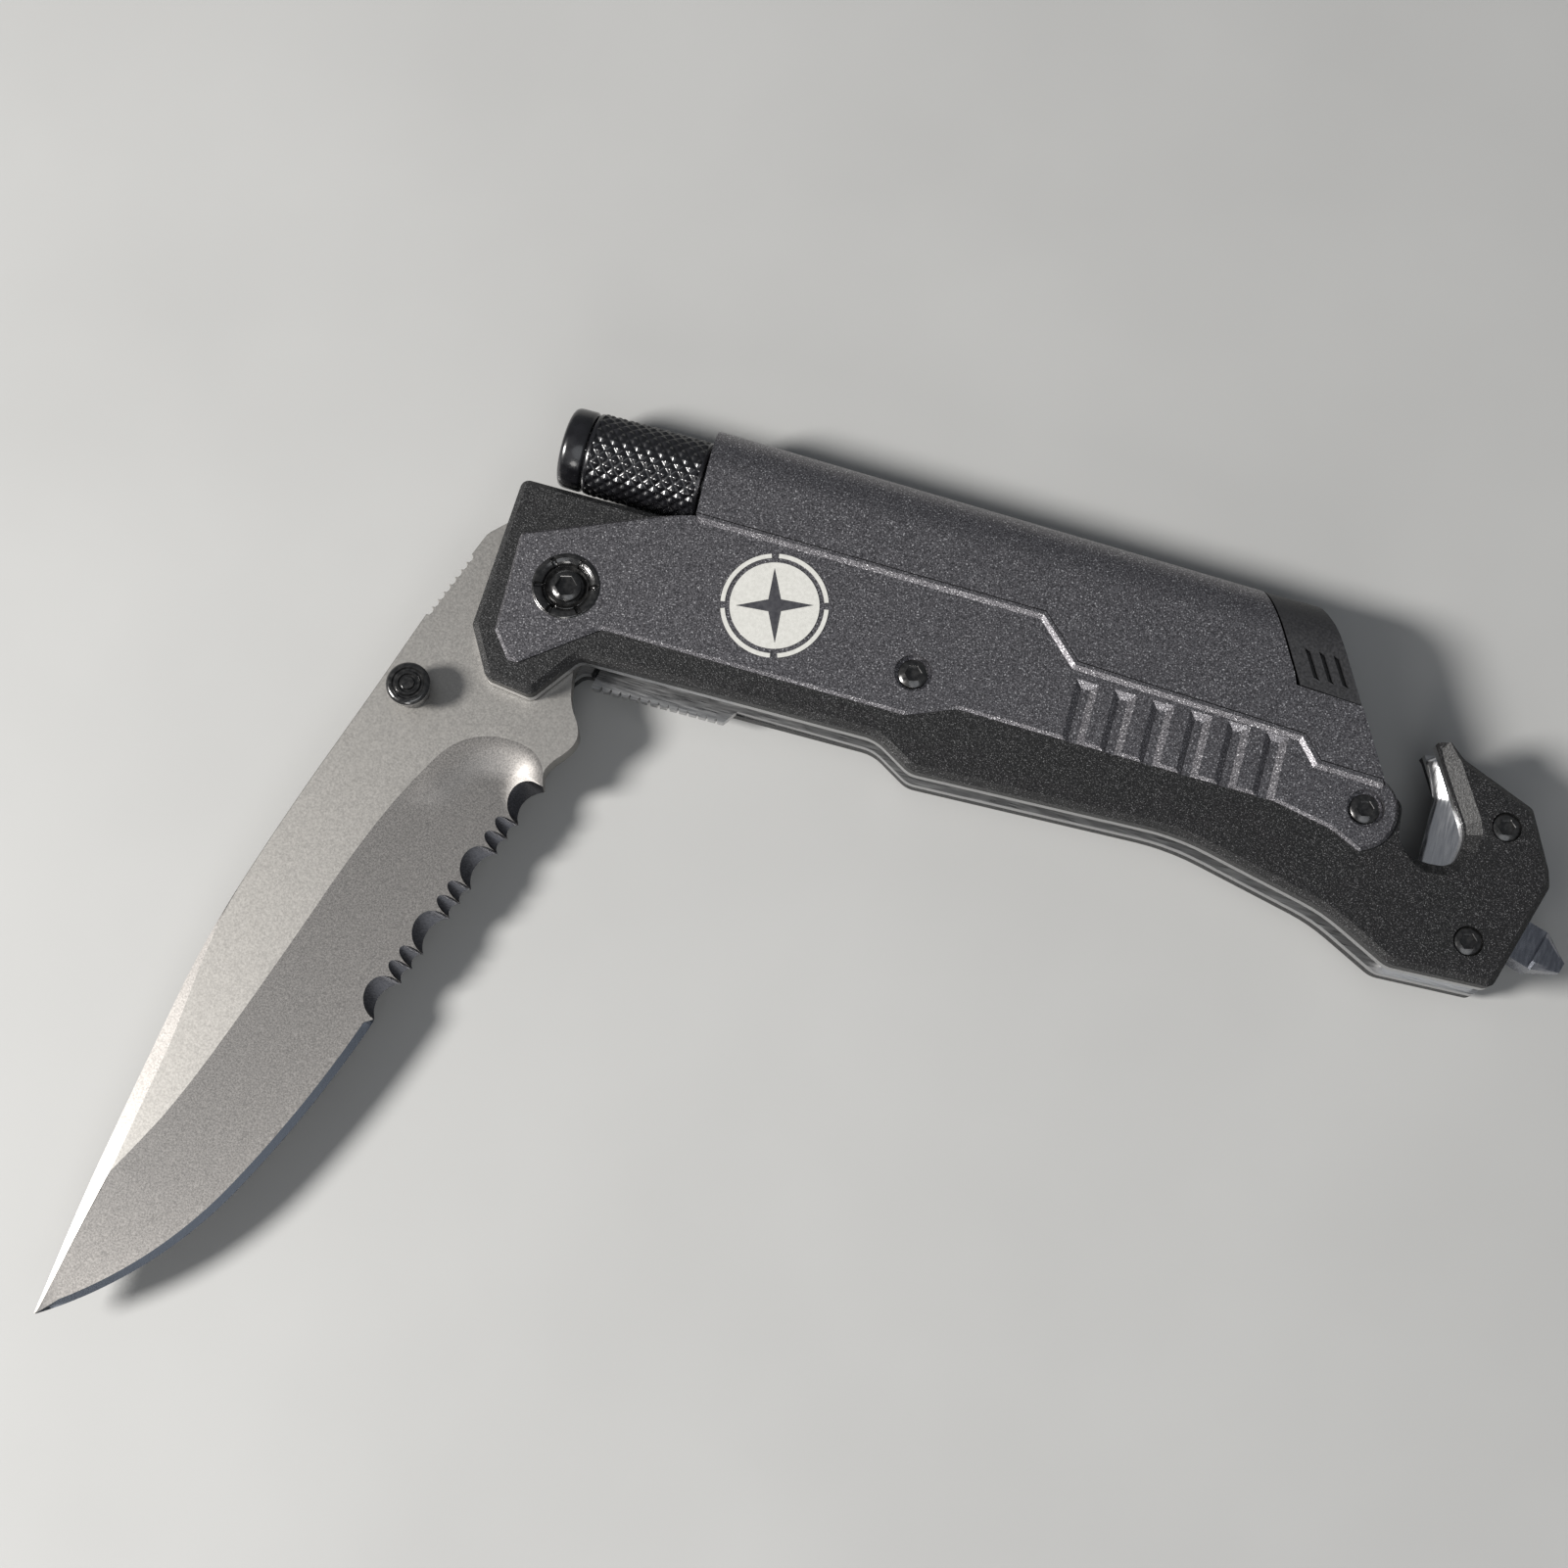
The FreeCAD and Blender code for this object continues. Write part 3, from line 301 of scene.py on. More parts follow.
lens = new_finish("clear_lens", 0.0, colour=(0.97, 0.98, 1.0), roughness=0.03)
lens.node_tree.nodes["Principled BSDF"].inputs["Transmission Weight"].default_value = 1.0
lens.node_tree.nodes["Principled BSDF"].inputs["IOR"].default_value = 1.49
emboss(lens, add_noise(lens, 3.0), 0.002, 0.1)

chromed = new_finish("vapour_chrome", 1.0, colour=(0.82, 0.82, 0.83))
vary_roughness(chromed, add_noise(chromed, 0.4), 0.04, 0.10)

phosphor = new_finish("phosphor_dome", 0.0, roughness=0.35)
tint(phosphor, add_noise(phosphor, 0.3), 0.3, 0.7, (0.80, 0.64, 0.12), (0.92, 0.78, 0.22))

board = new_finish("circuit_board", 0.0, roughness=0.4)
tint(board, add_noise(board, 0.8), 0.45, 0.55, (0.015, 0.10, 0.04), (0.03, 0.16, 0.07))

nickel = new_finish("nickel_plate", 1.0, colour=(0.62, 0.61, 0.58))
vary_roughness(nickel, add_noise(nickel, 0.3), 0.15, 0.3)

ferro = new_finish("ferrocerium", 0.8, roughness=0.55)
filed = add_noise(ferro, 0.25, (1, 10, 10), 4)
tint(ferro, filed, 0.3, 0.7, (0.07, 0.064, 0.06), (0.17, 0.155, 0.145))
emboss(ferro, filed, 0.02, 0.5)

ivory = new_finish("badge_enamel", 0.0, roughness=0.45)
tint(ivory, add_noise(ivory, 0.4, detail=3), 0.3, 0.7, (0.395, 0.392, 0.370), (0.455, 0.452, 0.428))
ink = new_finish("badge_ink", 0.0, roughness=0.4)
tint(ink, add_noise(ink, 0.5), 0.3, 0.7, (0.025, 0.025, 0.03), (0.045, 0.045, 0.05))

# %% [markdown]
# The blade's outline is drawn in its own frame: a runs from the pivot to the tip, and b from the spine to
# the edge. Arcs are given by three points. The edge line holds four wide scallops with two narrow ones
# between each pair, and the spine line holds the thumb ramp with its row of small notches. Drawing both
# lines as functions of a lets one grid of columns carry every surface of the blade.

# %% Blade lines
def arc(start, through, end, steps):
    """Points on the circle through three points, without the first."""
    (ax, ay), (bx, by), (cx, cy) = start, through, end
    aa, bb, cc = ax**2 + ay**2, bx**2 + by**2, cx**2 + cy**2
    d = 2 * (ax * (by - cy) + bx * (cy - ay) + cx * (ay - by))
    ux = (aa * (by - cy) + bb * (cy - ay) + cc * (ay - by)) / d
    uy = (aa * (cx - bx) + bb * (ax - cx) + cc * (bx - ax)) / d
    radius = math.hypot(ax - ux, ay - uy)
    first = math.atan2(ay - uy, ax - ux)
    swing = [math.remainder(math.atan2(y - uy, x - ux) - first, 2 * math.pi) for x, y in (through, end)]
    if swing[0] * swing[1] < 0 or abs(swing[1]) < abs(swing[0]):
        swing[1] -= math.copysign(2 * math.pi, swing[1])
    turns = [first + swing[1] * step / steps for step in range(1, steps + 1)]
    return [(ux + radius * math.cos(turn), uy + radius * math.sin(turn)) for turn in turns]


def soften(points, rounds=2):
    """Corners cut off again and again, which turns them into curves."""
    for _ in range(rounds):
        kept = [points[0]]
        for (x1, y1), (x2, y2) in zip(points, points[1:]):
            kept.append((x1 * 0.75 + x2 * 0.25, y1 * 0.75 + y2 * 0.25))
            kept.append((x1 * 0.25 + x2 * 0.75, y1 * 0.25 + y2 * 0.75))
        points = kept + [points[-1]]
    return points


def at(line, a):
    """The height of a line of points at a."""
    if a <= line[0][0]:
        return line[0][1]
    for (x1, y1), (x2, y2) in zip(line, line[1:]):
        if a <= x2:
            return y1 + (y2 - y1) * (a - x1) / max(x2 - x1, 1e-9)
    return line[-1][1]


TIP = 98.2
SERRATED = (19.8, 51.8)
EDGE_LEVEL = 10.75
WIDE, NARROW, PITCH = 5.0, 2.0, 9.0
scallops = []  # each one: start, end, depth of the cut, height of its ground facet
for group in range(4):
    base = SERRATED[0] + PITCH * group
    scallops.append((base, base + WIDE, 1.2, 1.55))
    if group < 3:
        narrow = base + WIDE + NARROW
        scallops += [(base + WIDE, narrow, 0.65, 1.65), (narrow, base + PITCH, 0.65, 1.65)]

edge_line = [(-6.65, 0.5), (-6.0, 3.0)] + arc((-6.0, 3.0), (-2.6, 6.2), (3.35, 5.8), 14)
edge_line += arc((3.35, 5.8), (5.1, 5.2), (7.0, 5.6), 6)
edge_line += soften([(7.0, 5.6), (10.2, 7.5), (12.0, 10.2), (14.1, 10.9), (17.9, 9.4), (19.7, 10.55)])
smooth_edge = [(19.8, 10.7), (51.8, 10.8)] + arc((51.8, 10.8), (64.7, 10.72), (75.8, 9.65), 24)
smooth_edge += arc((75.8, 9.65), (88.5, 5.9), (TIP, 0.0), 30)
for start, end, sag, _ in scallops:
    middle = ((start + end) / 2 + 0.1, EDGE_LEVEL - sag)
    edge_line += [(start + 0.001, EDGE_LEVEL)] + arc((start, EDGE_LEVEL), middle, (end, EDGE_LEVEL), 16)
edge_line += smooth_edge[2:]

NOTCHES, NOTCH_PITCH = 8, 1.1
notches = []
for notch in range(NOTCHES):
    a = 2.2 + NOTCH_PITCH * notch
    notches += [(a, -12.4), (a + 0.2, -12.05), (a + 0.55, -11.95), (a + 0.9, -12.05), (a + NOTCH_PITCH, -12.4)]
spine_line = [(-6.65, -0.6)] + arc((-6.65, -0.6), (-5.7, -3.5), (-3.8, -5.5), 8)
spine_line += [(-3.79, -10.6), (-3.2, -11.3), (-1.2, -12.25), (-0.6, -12.4)] + notches
spine_line += [(11.3, -12.38), (22.9, -11.85)]
spine_line += soften([(22.9, -11.85), (38.0, -11.35), (54.5, -10.1), (70.5, -6.75), (88.2, -2.7),
                      (TIP, -0.12)], 3)
print("edge points", len(edge_line), "spine points", len(spine_line))

# %% [markdown]
# A knife maker grinds each bevel on a large wheel, so the bevel is slightly hollow and starts at a crisp
# grind line. Near the handle the wheel lifts off, and the bevel runs out gently into the flat over 5 mm:
# the plunge. Each scallop is ground from the left side only, with a smaller wheel, so its facet is a curved
# window that stops at the flat right-hand face. The swedge thins the front half of the spine. Heights are
# worked out point by point for both faces.

# %% Blade surfaces
HALF = 1.4            # half thickness of the flats
EDGE_HALF = 0.30      # half thickness just behind the edge bevel
SHARP_HALF = 0.03     # half thickness of the edge itself
HOLLOW = 1.35         # power of the bevel's curve; 1 would be flat
RIM = 0.12            # least width of the strip along the spine
SWEDGE_FROM, SWEDGE_RUN, SWEDGE_WIDTH = 49.0, 20.0, 1.55
TAPER_FROM, TAPER = 80.0, 0.70
PLUNGE_FROM, PLUNGE_TO, PLUNGE_BLEND = 16.95, 25.5, 5.0
PLUNGE_TURN = 7.0     # the height at which the plunge is nearest the handle
FIRST_GRIND = 23.7    # the grind line is level between here and the handle
plunge = soften([(PLUNGE_TO, -1.5), (22.6, -1.1), (19.6, 0.6), (17.6, 3.6), (16.9, PLUNGE_TURN), (17.7, 9.2),
                 (SERRATED[0], EDGE_LEVEL)], 3)
grind_line = soften([(19.0, 1.0), (20.4, -0.2), (FIRST_GRIND, -1.4), (34.5, -2.5), (53.9, -1.6),
                     (70.8, -1.25), (79.0, -2.2), (84.0, -3.0), (TIP, 0.0)])
plunge_upper = sorted(point for point in plunge if point[1] < PLUNGE_TURN)
plunge_lower = sorted(point for point in plunge if point[1] >= PLUNGE_TURN)


def ease(value):
    value = min(1.0, max(0.0, value))
    return value * value * (3 - 2 * value)


def lines_at(a):
    """The rows of one column: spine, swedge line, grind line, edge bevel line and edge."""
    spine = at(spine_line, a)
    edge = max(at(edge_line, a), spine + RIM)
    width = SWEDGE_WIDTH * ease((a - SWEDGE_FROM) / SWEDGE_RUN) * min(1.0, (98.6 - a) / 18.0)
    swedge = min(spine + RIM + width, spine + 0.40 * (edge - spine))
    if a < PLUNGE_FROM:
        grind = 6.9 if a > 12 else (spine + edge) / 2
    else:
        grind = at(plunge_upper if a < PLUNGE_TO else grind_line, a)
    if SERRATED[0] <= a <= SERRATED[1]:
        start, end, sag, reach = next(item for item in scallops if item[0] <= a <= item[1] + 1e-6)
        lean = ((a - start) / (end - start)) ** 0.85
        bow = math.sqrt(max(0.0, 1 - (2 * lean - 1) ** 2))
        facet = min(edge - 0.06, 10.6 - (sag + reach) * bow)
    elif a < SERRATED[0]:
        facet = at(plunge_lower, a) if a > PLUNGE_FROM else (grind + edge) / 2
    else:
        facet = edge - min(0.08 + 0.75 * ease((a - 51.7) / 1.2), 0.3 * (edge - spine))
    grind = min(max(grind, swedge + 0.05), edge - 0.1)
    facet = min(max(facet, grind + 0.03), edge - 0.03)
    return spine, swedge, grind, facet, edge


def flat_height(a):
    """Half thickness of the flats, which thin towards the tip."""
    return HALF * (1 - TAPER * ease((a - TAPER_FROM) / (TIP - TAPER_FROM)))


def bevel_height(a, b):
    """Half thickness on the main bevel, hollow ground, with the plunge blended in."""
    base = at(smooth_edge, max(a, SERRATED[0]))
    start = at(grind_line, max(a, FIRST_GRIND))
    share = min(1.0, max(0.0, (b - start) / max(base - start, 0.5)))
    flat = flat_height(a)
    height = flat - (flat - EDGE_HALF) * (1 - (1 - share) ** HOLLOW)
    if a < PLUNGE_TO + 1.5 * PLUNGE_BLEND:
        near = min(math.hypot(a - x, b - y) for x, y in plunge)
        height += (HALF - height) * (1 - ease(near / PLUNGE_BLEND))
    return min(height, flat)


SWEDGE, FLAT, BEVEL, EDGE = 1, 2, 3, 4


def heights_at(a, b, rows, zone):
    """Heights of the left and right faces above and below the blade's middle."""
    spine, swedge, grind, facet, edge = rows
    flat = flat_height(a)
    if zone == SWEDGE:
        tapered = ease((a - SWEDGE_FROM) / SWEDGE_RUN)
        thin = 0.10 * (1 - tapered) + 0.14 * tapered * (swedge - spine)
        height = flat - thin * (1 - (b - spine) / max(swedge - spine, 1e-6))
        return height, -height
    if zone == FLAT or a < PLUNGE_FROM:
        return flat, -flat
    if a < SERRATED[0] and zone == EDGE and b > facet:
        return HALF, -HALF
    height = bevel_height(a, b)
    if zone == BEVEL:
        return height, -height
    share = (b - facet) / max(edge - facet, 1e-6)
    if a < SERRATED[1]:
        right = -height
        return height + (right + 0.05 - height) * share, right
    level = bevel_height(a, facet)
    level -= (level - SHARP_HALF) * share
    return level, -level


# %% [markdown]
# The grid is swept from the tang to the tip. Columns are close together where the scallops and the plunge
# need it and wider elsewhere, and each column has the same number of rows, so left face, right face and
# the rim between them join without a gap. The pivot hole and the stud hole are then cut with a boolean,
# as a drill would, and each face takes the finish of its zone.

# %% Blade mesh
def spread(first, last, step):
    count = max(1, round((last - first) / step))
    return [first + (last - first) * number / count for number in range(count)]


columns = spread(-6.65, 16.0, 0.35) + spread(16.0, 24.0, 0.15) + spread(24.0, 52.2, 0.13)
columns += spread(52.2, 98.0, 0.4) + [98.0, 98.19]
columns += [a for a, _ in spine_line if a < 12.0]
columns += [end + side for _, end, _, _ in scallops for side in (-0.02, 0.02)]
columns = sorted(set(round(a, 3) for a in columns if -6.651 < a < TIP))
ROWS = [(SWEDGE, 2), (FLAT, 6), (BEVEL, 22), (EDGE, 7)]
MIDDLE = 6.4          # height of the knife's middle above the table
HALF_OPEN = -108.9    # turn of the blade from straight out, in degrees
turn = Matrix.Rotation(math.radians(HALF_OPEN), 4, "Z")

points = []
for a in columns:
    rows = lines_at(a)
    column = [(rows[0], SWEDGE)]
    for zone, count in ROWS:
        low, high = rows[zone - 1], rows[zone]
        shares = [(step + 1) / count for step in range(count)]
        if zone == BEVEL:
            shares = [(1 - math.cos(math.pi * share)) / 2 for share in shares]
        column += [(low + (high - low) * share, zone) for share in shares]
    for b, zone in column:
        left, right = heights_at(a, b, rows, zone)
        points += [turn @ Vector((a, b, MIDDLE + left)), turn @ Vector((a, b, MIDDLE + right))]
blade = make_piece("visual_blade", points, swept_faces(len(columns), len(column)), crease=6)


def drill(piece, x, y, radius):
    place = Vector((x, y, MIDDLE)) * MM
    bpy.ops.mesh.primitive_cylinder_add(vertices=48, radius=radius * MM, depth=30 * MM, location=place)
    tool = bpy.context.object
    cut = piece.modifiers.new("drill", "BOOLEAN")
    cut.object = tool
    cut.solver = "EXACT"
    bpy.context.view_layer.update()
    solid = bpy.data.meshes.new_from_object(piece.evaluated_get(bpy.context.evaluated_depsgraph_get()))
    piece.modifiers.clear()
    piece.data = solid
    bpy.data.objects.remove(tool)


PIVOT_HOLE, SMALL_HOLE = 2.53, 1.1
stud = turn @ Vector((19.3, -8.1, 0))
drill(blade, 0, 0, PIVOT_HOLE)
drill(blade, stud.x, stud.y, SMALL_HOLE)

# The bevel, edge and facet finishes carry painted shade, so the faces they go on look darker than the flats.
for finish in (blasted, bevelled, ground, facet_painted_shade):
    blade.data.materials.append(finish)
BEVELLED, GROUND, FACETED = 1, 2, 3
BEVELLED_FROM = 17.0
back = turn.inverted()
for face in blade.data.polygons:
    centre = back @ (face.center / MM)
    a, b = centre.x, centre.y
    _, swedge, grind, facet, _ = lines_at(a)
    on_left = face.normal.z > 0.02
    if (a > BEVELLED_FROM and grind < b < facet) or (a > SWEDGE_FROM and b < swedge):
        face.material_index = BEVELLED
    elif a > SERRATED[0] and b >= facet:
        face.material_index = GROUND if a > SERRATED[1] else FACETED if on_left else BEVELLED
settle(blade, "blade", "blade_steel", "blade")

# %% [markdown]
# Round parts are turned on a lathe, so they are made by spinning a profile: a list of distances along the
# axis and radii. An optional wobble changes the radius with the angle, which is how the knurl is cut: two
# sets of helical grooves that cross and leave rows of small pyramids, longer along the light than round it.

# %% A lathe
def lathe(name, profile, origin, axis, segments=96, wobble=None, crease=25):
    axis = Vector(axis).normalized()
    across = axis.orthogonal().normalized()
    other = axis.cross(across)
    points = []
    for along, radius in profile:
        for number in range(segments):
            angle = 2 * math.pi * number / segments
            reach = radius + (wobble(along, angle, radius) if wobble else 0)
            spoke = across * math.cos(angle) + other * math.sin(angle)
            points.append(Vector(origin) + axis * along + spoke * reach)
    return make_piece(name, points, ring_faces(len(profile), segments), crease)


LIGHT = (0, 18.1, 6.4)
ALONG = (1, 0, 0)
KNURL = (-2.3, 10.5)  # where it starts and ends along the sleeve
PYRAMIDS = 38         # round the sleeve
PYRAMID_LENGTH = 1.45
GROOVE_DEPTH = 0.30
KNURL_ROWS = 88


def knurl(along, angle, radius):
    if radius < 4.7 or not KNURL[0] <= along <= KNURL[1]:
        return 0
    u, v = along / PYRAMID_LENGTH, angle * PYRAMIDS / (2 * math.pi)
    ridges = [abs((2 * (u + side * v)) % 2 - 1) for side in (0.5, -0.5)]
    return -GROOVE_DEPTH * (1 - min(1.0, 1.25 * min(ridges)))


rows = [KNURL[0] + (KNURL[1] - KNURL[0]) * step / KNURL_ROWS for step in range(KNURL_ROWS + 1)]
sleeve_profile = [(-2.9, 3.9), (-2.9, 4.55), (-2.65, 4.8), (-2.31, 4.8)]
sleeve_profile += [(along, 4.9) for along in rows]
sleeve_profile += [(10.52, 4.8), (10.8, 4.8), (11.0, 4.6), (11.0, 3.32), (6.1, 3.32), (6.1, 3.9)]
sleeve = lathe("visual_light_sleeve", sleeve_profile, LIGHT, ALONG, PYRAMIDS * 8, knurl, 60)
sleeve.data.materials.append(anodised)
settle(sleeve, "lamp_head", "lamp_black", "lamp_head_sleeve")

bezel_profile = [(-5.9, 3.65), (-5.9, 4.25), (-5.75, 4.55), (-5.45, 4.75), (-5.1, 4.8), (-3.35, 4.8),
                 (-3.1, 4.65), (-3.0, 4.5), (-3.0, 4.12), (-4.6, 4.12), (-4.6, 3.65)]
bezel = lathe("visual_light_bezel", bezel_profile, LIGHT, ALONG, crease=35)
bezel.data.materials.append(anodised)
settle(bezel, "lamp_head", "lamp_black", "lamp_bezel")

# %% [markdown]
# The thumb studs are turned from bar: a narrow waist and a wider head whose flat top has concentric rings,
# which give the thumb its grip. The rings are in the profile, so they catch light as the real ones do.

# %% Thumb studs
head = [(0, 0.001), (0.0, 1.95), (0.25, 2.05), (1.7, 1.85), (2.15, 2.15), (2.3, 2.42), (2.45, 2.5), (3.4, 2.5),
        (3.62, 2.3)]
head += [(3.7, 2.12), (3.7, 1.85), (3.52, 1.72), (3.52, 1.5), (3.74, 1.38), (3.74, 1.12), (3.56, 1.0),
         (3.56, 0.8), (3.8, 0.7), (3.8, 0.3), (3.8, 0.001)]
for side, label in ((1, "left"), (-1, "right")):
    start = (stud.x, stud.y, MIDDLE + side * HALF)
    turned = lathe("visual_%s_thumb_stud" % label, head, start, (0, 0, side), 64, crease=30)
    turned.data.materials.append(oxide)
    settle(turned, "blade", "black_oxide", label + "_thumb_stud")

# %% [markdown]
# The pivot collar is a dished black ring with six short radial slots for its tool and a fine groove
# round the dish. It is a height map on a polar grid: the dish falls towards the screw, and the slots are
# cut down from it with slightly sloped walls.

# %% Pivot collar
COLLAR_BORE, COLLAR_RIM = 1.55, 3.9
COLLAR_FOOT, COLLAR_TOP = 11.0, 12.4
DISH_FROM, DISH_TO, DISH_DROP = 1.9, 3.3, 0.9
SLOT_HALF, SLOT_DEPTH, SLOT_TURN = 0.30, 0.40, math.radians(12)
GROOVE_AT = 2.62
SHALLOW = 0.16        # depth of the groove and of the rim's rounding
POLAR_ROWS, SPOKES = 34, 180


def dish(radius, angle):
    level = COLLAR_TOP - SHALLOW * ease((radius - 3.68) / 0.22)
    if radius < DISH_TO:
        level = COLLAR_TOP - 0.04 - DISH_DROP * (1 - ease((radius - DISH_FROM) / (DISH_TO - DISH_FROM)))
    level -= SHALLOW * ease(1 - abs(radius - GROOVE_AT) / 0.12)
    off = abs(math.remainder(angle - SLOT_TURN, math.pi / 3)) * radius
    length = ease((radius - 2.5) / 0.15) * ease((3.75 - radius) / 0.12)
    return level - SLOT_DEPTH * ease((SLOT_HALF - off) / 0.12) * length


top_radii = [COLLAR_BORE]
top_radii += [DISH_FROM + (COLLAR_RIM - DISH_FROM) * step / POLAR_ROWS for step in range(POLAR_ROWS + 1)]
points = []
for number, radius in enumerate(top_radii + [COLLAR_RIM, COLLAR_BORE]):
    for spoke in range(SPOKES):
        angle = 2 * math.pi * spoke / SPOKES
        level = dish(radius, angle) if number < len(top_radii) else COLLAR_FOOT
        points.append((radius * math.cos(angle), radius * math.sin(angle), level))
faces = ring_faces(len(top_radii) + 2, SPOKES)
collar = make_piece("visual_pivot_collar", points, faces, crease=40)
collar.data.materials.append(oxide)
settle(collar, "handle", "black_oxide", "pivot_collar")

# %% [markdown]
# The screws have low domed heads with hex sockets. The lathe turns them too: a wobble that acts only on
# the socket's rings gives them six flat sides. The two screws of one node are joined into one piece.

# %% Screws
def hexagon(along, angle, radius):
    """How far the hexagon's side is from its inner circle; the shank, below the socket, stays round."""
    if along < 0.2 or not 0.5 < radius < 1.15:
        return 0
    return radius * (1 / math.cos(math.remainder(angle, math.pi / 3)) - 1)


def screw_profile(rise, head, socket, shank, depth):
    """From the socket's floor over the dome to the shank; heights are above the head's seat."""
    dome = [(rise - 0.32 * ((radius - socket) / (head - socket)) ** 2, radius)
            for radius in (socket + 0.07, (head + socket) / 2, head - 0.18, head - 0.06)]
    inside = [(0.30, 0.001), (0.30, 0.45), (0.33, socket), (rise - 0.06, socket)]
    return inside + dome + [(rise - 0.42, head), (0, head), (0, shank), (-depth, shank), (-depth, 0.001)]


def make_screws(node, places, seat, side, profile):
    name = "visual_" + node
    joined = bmesh.new()
    for x, y in places:
        single = lathe("single", profile, (x, y, MIDDLE + side * seat), (0, 0, side), 60, hexagon, 28)
        joined.from_mesh(single.data)
        bpy.data.objects.remove(single)
    mesh = bpy.data.meshes.new(name)
    joined.to_mesh(mesh)
    joined.free()
    screws = bpy.data.objects.new(name, mesh)
    bpy.context.scene.collection.objects.link(screws)
    screws.data.materials.append(oxide)
    settle(screws, "handle", "black_oxide", node)


INLAY_SCREWS = [(40.6, 1.0), (93.0, -0.2)]
BUTT_SCREWS = [(108.7, 2.2), (107.3, -11.5)]
for side, label in ((1, "left"), (-1, "right")):
    make_screws(label + "_inlay_screws", INLAY_SCREWS, 4.9, side, screw_profile(0.86, 1.7, 0.80, 1.1, 3.2))
    make_screws(label + "_butt_screws", BUTT_SCREWS, 4.2, side, screw_profile(0.96, 1.7, 0.80, 1.1, 4.05))
make_screws("pivot_screw", [(0, 0)], 5.0, 1, screw_profile(1.10, 1.8, 1.05, 1.45, 6.4))

# %% [markdown]
# The strap cutter is a hooked blade let into the butt. Its edge faces the mouth of the notch, with a broad
# hollow bevel that is widest at the bottom. Only the bevel and the edge show, and the body of the blade
# lies between the scales.

# %% Strap cutter
CUTTER_LOW, CUTTER_LENGTH, CUTTER_STEPS = -5.6, 15.0, 60
CUTTER_HALF = 1.5
CUTTER_EDGE = 0.04    # half thickness of its edge
BEVEL_PARTS, BODY_PARTS = 12, 4
front_line = [(CUTTER_LOW, 101.0), (1.5, 101.15), (3.8, 101.2), (4.6, 101.15), (5.9, 100.6), (8.6, 99.35),
              (9.0, 99.6), (9.4, 100.2)]
rear_line = [(CUTTER_LOW, 112.7), (-1.0, 113.7), (4.9, 110.8), (6.3, 108.0), (9.3, 101.2), (9.4, 100.9)]
points = []
for step in range(CUTTER_STEPS + 1):
    y = CUTTER_LOW + CUTTER_LENGTH * step / CUTTER_STEPS
    front, rear = at(front_line, y), at(rear_line, y)
    width = min(4.6 - 2.9 * ease((y + 3) / 11), 0.75 * (rear - front))
    shares = [part / BEVEL_PARTS for part in range(BEVEL_PARTS + 1)]
    column = [(front + width * share, share ** 0.72) for share in shares]
    body = rear - front - width
    column += [(front + width + body * part / BODY_PARTS, 1.0) for part in range(1, BODY_PARTS + 1)]
    for x, share in column:
        thick = CUTTER_EDGE + (CUTTER_HALF - CUTTER_EDGE) * share
        points += [(x, y, MIDDLE + thick), (x, y, MIDDLE - thick)]
cutter = make_piece("visual_strap_cutter", points, swept_faces(CUTTER_STEPS + 1, len(column)), crease=20)
drill(cutter, *BUTT_SCREWS[0], SMALL_HOLE)
cutter.data.materials.append(stainless)
settle(cutter, "handle", "bright_steel", "strap_cutter")

# %% [markdown]
# A small round badge is set on the grey inlay behind the pivot. It is a generic one: a pale enamel disc
# with a four-point compass star, inside a pale ring broken in four places. Each part is a thin plate.

# %% Badge
BADGE = (23.4, 4.3)
INLAY_TOP = 12.2
SUNK, PROUD = 0.05, 0.10


def thin_plate(name, outline, low, high, finish):
    count = len(outline)
    points = [(x, y, low) for x, y in outline] + [(x, y, high) for x, y in outline]
    faces = [list(range(count))[::-1], list(range(count, 2 * count))]
    faces += [[n, (n + 1) % count, count + (n + 1) % count, count + n] for n in range(count)]
    part = make_piece(name, points, faces, 30)
    part.data.materials.append(finish)
    settle(part, "handle", "inlay_grey")


def around(radius, first, last, count):
    turns = [math.radians(first + (last - first) * step / count) for step in range(count + 1)]
    return [(BADGE[0] + radius * math.cos(t), BADGE[1] + radius * math.sin(t)) for t in turns]


thin_plate("badge_disc", around(5.1, 0, 360, 96)[:-1], INLAY_TOP - SUNK, INLAY_TOP + PROUD, ivory)
for quarter in range(4):
    first, last = 90 * quarter + 19, 90 * quarter + 101
    ring = around(6.15, first, last, 24) + around(5.65, last, first, 24)
    thin_plate("badge_ring_%d" % quarter, ring, INLAY_TOP - SUNK, INLAY_TOP + PROUD, ivory)
star = []
for point in range(8):
    reach = 4.4 if point % 2 == 0 else 1.0
    turn_by = math.radians(45 * point + 16)
    star.append((BADGE[0] + reach * math.cos(turn_by), BADGE[1] + reach * math.sin(turn_by)))
thin_plate("badge_star", star, INLAY_TOP + 0.05, INLAY_TOP + 0.14, ink)

# %% [markdown]
# Every other part is shown as the CAD gives it, with its own finish. A narrow bevel on the machined and
# painted parts rounds their edges by less than a tenth of a millimetre, which is what a tumbled or painted
# edge has, and lets it catch a thin line of light.

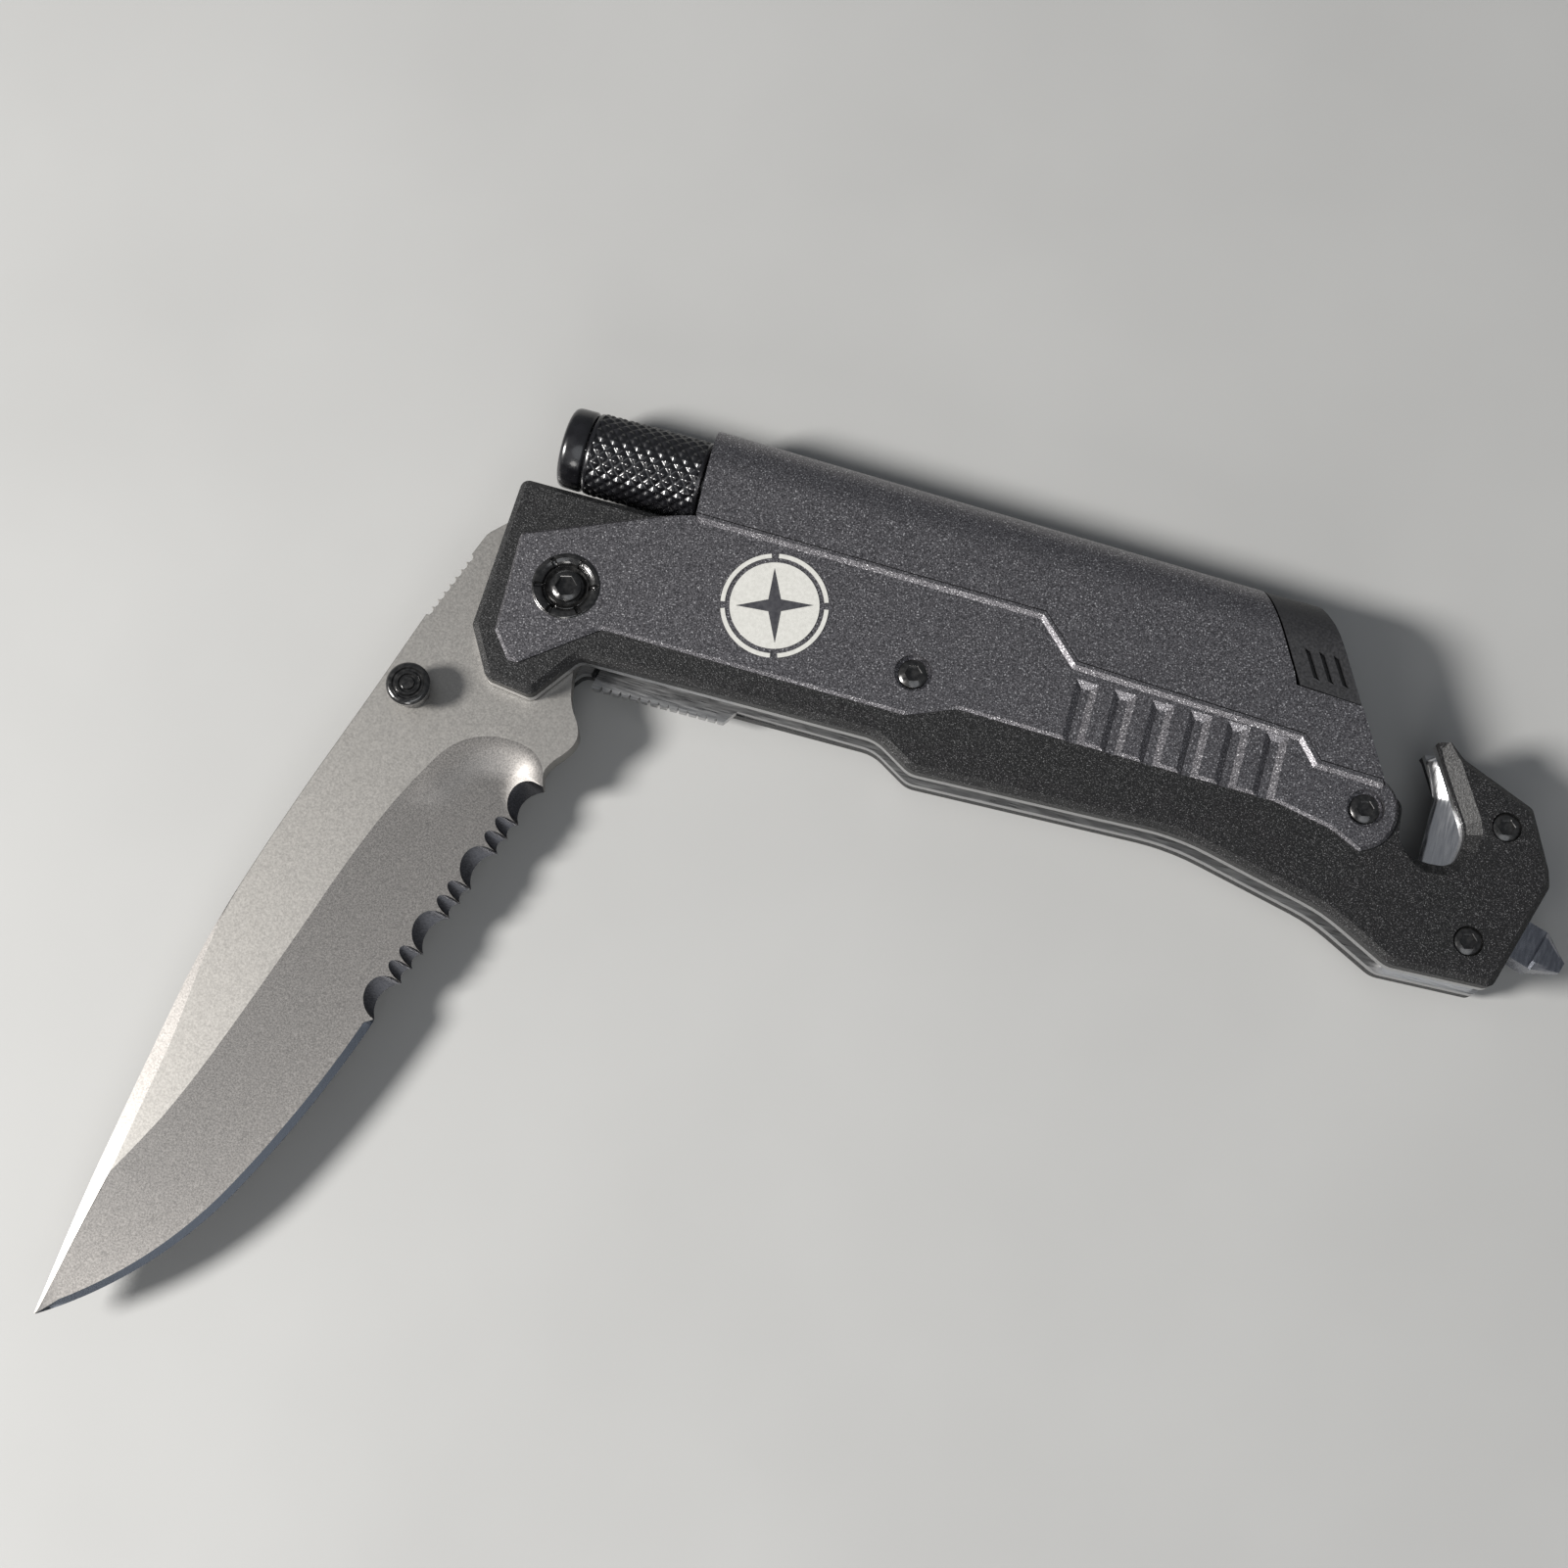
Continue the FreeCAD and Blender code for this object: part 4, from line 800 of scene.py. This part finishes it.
# %% Finishes for the CAD parts
wears = {
    powder: ["left_scale", "right_scale"],
    gunmetal: ["left_inlay", "right_inlay", "spine_housing"],
    grip: ["fire_starter_handle", "lamp_spacer"],
    hardened: ["glass_breaker"],
    plate: ["left_liner", "right_liner", "lock_bar", "stop_pin", "housing_pins", "rear_spacer"],
    oxide: ["pivot_barrel", "thumb_stud_pin"],
    bronze: ["left_washer", "right_washer", "lamp_contact"],
    anodised: ["lamp_tube", "lamp_tail_cap"],
    lens: ["lamp_lens"],
    chromed: ["lamp_reflector"],
    phosphor: ["lamp_chip"],
    board: ["lamp_board"],
    nickel: ["button_cells", "lamp_spring"],
    ferro: ["ferro_rod"],
}
ROUNDED = {"left_scale": 0.10, "right_scale": 0.10, "left_inlay": 0.09, "right_inlay": 0.09,
           "spine_housing": 0.12, "fire_starter_handle": 0.15, "glass_breaker": 0.12, "left_liner": 0.05,
           "right_liner": 0.05, "lock_bar": 0.05}
for finish, names in wears.items():
    for name in names:
        node = nodes[name]
        node.data.materials.clear()
        node.data.materials.append(finish)
        if name in ROUNDED:
            bevel = node.modifiers.new("edge", "BEVEL")
            bevel.width = ROUNDED[name] * MM
            bevel.segments = 2
            bevel.limit_method = "ANGLE"
            bevel.angle_limit = math.radians(28)
            bevel.harden_normals = True
print("finished CAD parts:", sum(len(names) for names in wears.values()))

# %% [markdown]
# The knife lies on its right-hand face on a pale table. A soft key light comes from the pivot end and
# a little below, as a small window would. A low one catches the bevels that face the belly, a weak one fills
# from above, and a dim pale world gives the metal something to reflect.

# %% Table and lights
KNIFE_CENTRE = Vector((0.045, -0.02, 0.0))
bpy.ops.mesh.primitive_plane_add(size=3.0, location=(0.04, -0.02, -0.00002))
table = bpy.context.object
table.name = "table"
table_paint = new_finish("table_paint", 0.0, roughness=0.6)
tint(table_paint, add_noise(table_paint, 40, detail=3), 0.3, 0.7, (0.30, 0.30, 0.296), (0.32, 0.32, 0.316))
table.data.materials.append(table_paint)


def add_softbox(name, direction, distance, size, power, colour):
    light = bpy.data.lights.new(name, "AREA")
    light.shape = "DISK"
    light.size = size
    light.energy = power
    light.color = colour
    lamp = bpy.data.objects.new(name, light)
    aim = Vector(direction).normalized()
    lamp.location = KNIFE_CENTRE + aim * distance
    lamp.rotation_euler = aim.to_track_quat("Z", "Y").to_euler()
    bpy.context.scene.collection.objects.link(lamp)


add_softbox("key", (-0.74, -0.34, 0.66), 0.9, 0.22, 17, (1.0, 0.98, 0.95))
add_softbox("fill", (0.25, -0.45, 0.95), 1.0, 0.7, 2.0, (0.94, 0.97, 1.0))
add_softbox("low", (0.05, -0.86, 0.50), 0.8, 0.22, 1.1, (1.0, 0.98, 0.95))
world = bpy.data.worlds.new("studio")
world.use_nodes = True
world.node_tree.nodes["Background"].inputs["Color"].default_value = (0.86, 0.90, 0.96, 1)
world.node_tree.nodes["Background"].inputs["Strength"].default_value = 0.22
bpy.context.scene.world = world

# %% [markdown]
# The camera stands about 26 cm away, 16 degrees round and 77 degrees above the table, so the near parts
# look slightly larger. Its axes are written out, because a rolled camera can't be given by a target alone.

# %% Camera
right = Vector((0.9613, 0.2756, 0.0))
up = Vector((-0.2686, 0.9366, 0.2250))
toward = Vector((0.0620, -0.2162, 0.9744))
SENSOR = 36.0
FOCAL_SHARE = 2400 / 1601  # focal length over the width of the sensor
lens_data = bpy.data.cameras.new("camera")
lens_data.sensor_width = SENSOR
lens_data.lens = FOCAL_SHARE * SENSOR
lens_data.clip_start = 0.01
camera = bpy.data.objects.new("camera", lens_data)
facing = Matrix((right, up, toward)).transposed().to_4x4()
camera.matrix_world = Matrix.Translation(Vector((46.37, -71.91, 267.11)) * MM) @ facing
bpy.context.scene.collection.objects.link(camera)
bpy.context.scene.camera = camera
bpy.context.scene.view_settings.view_transform = "Standard"
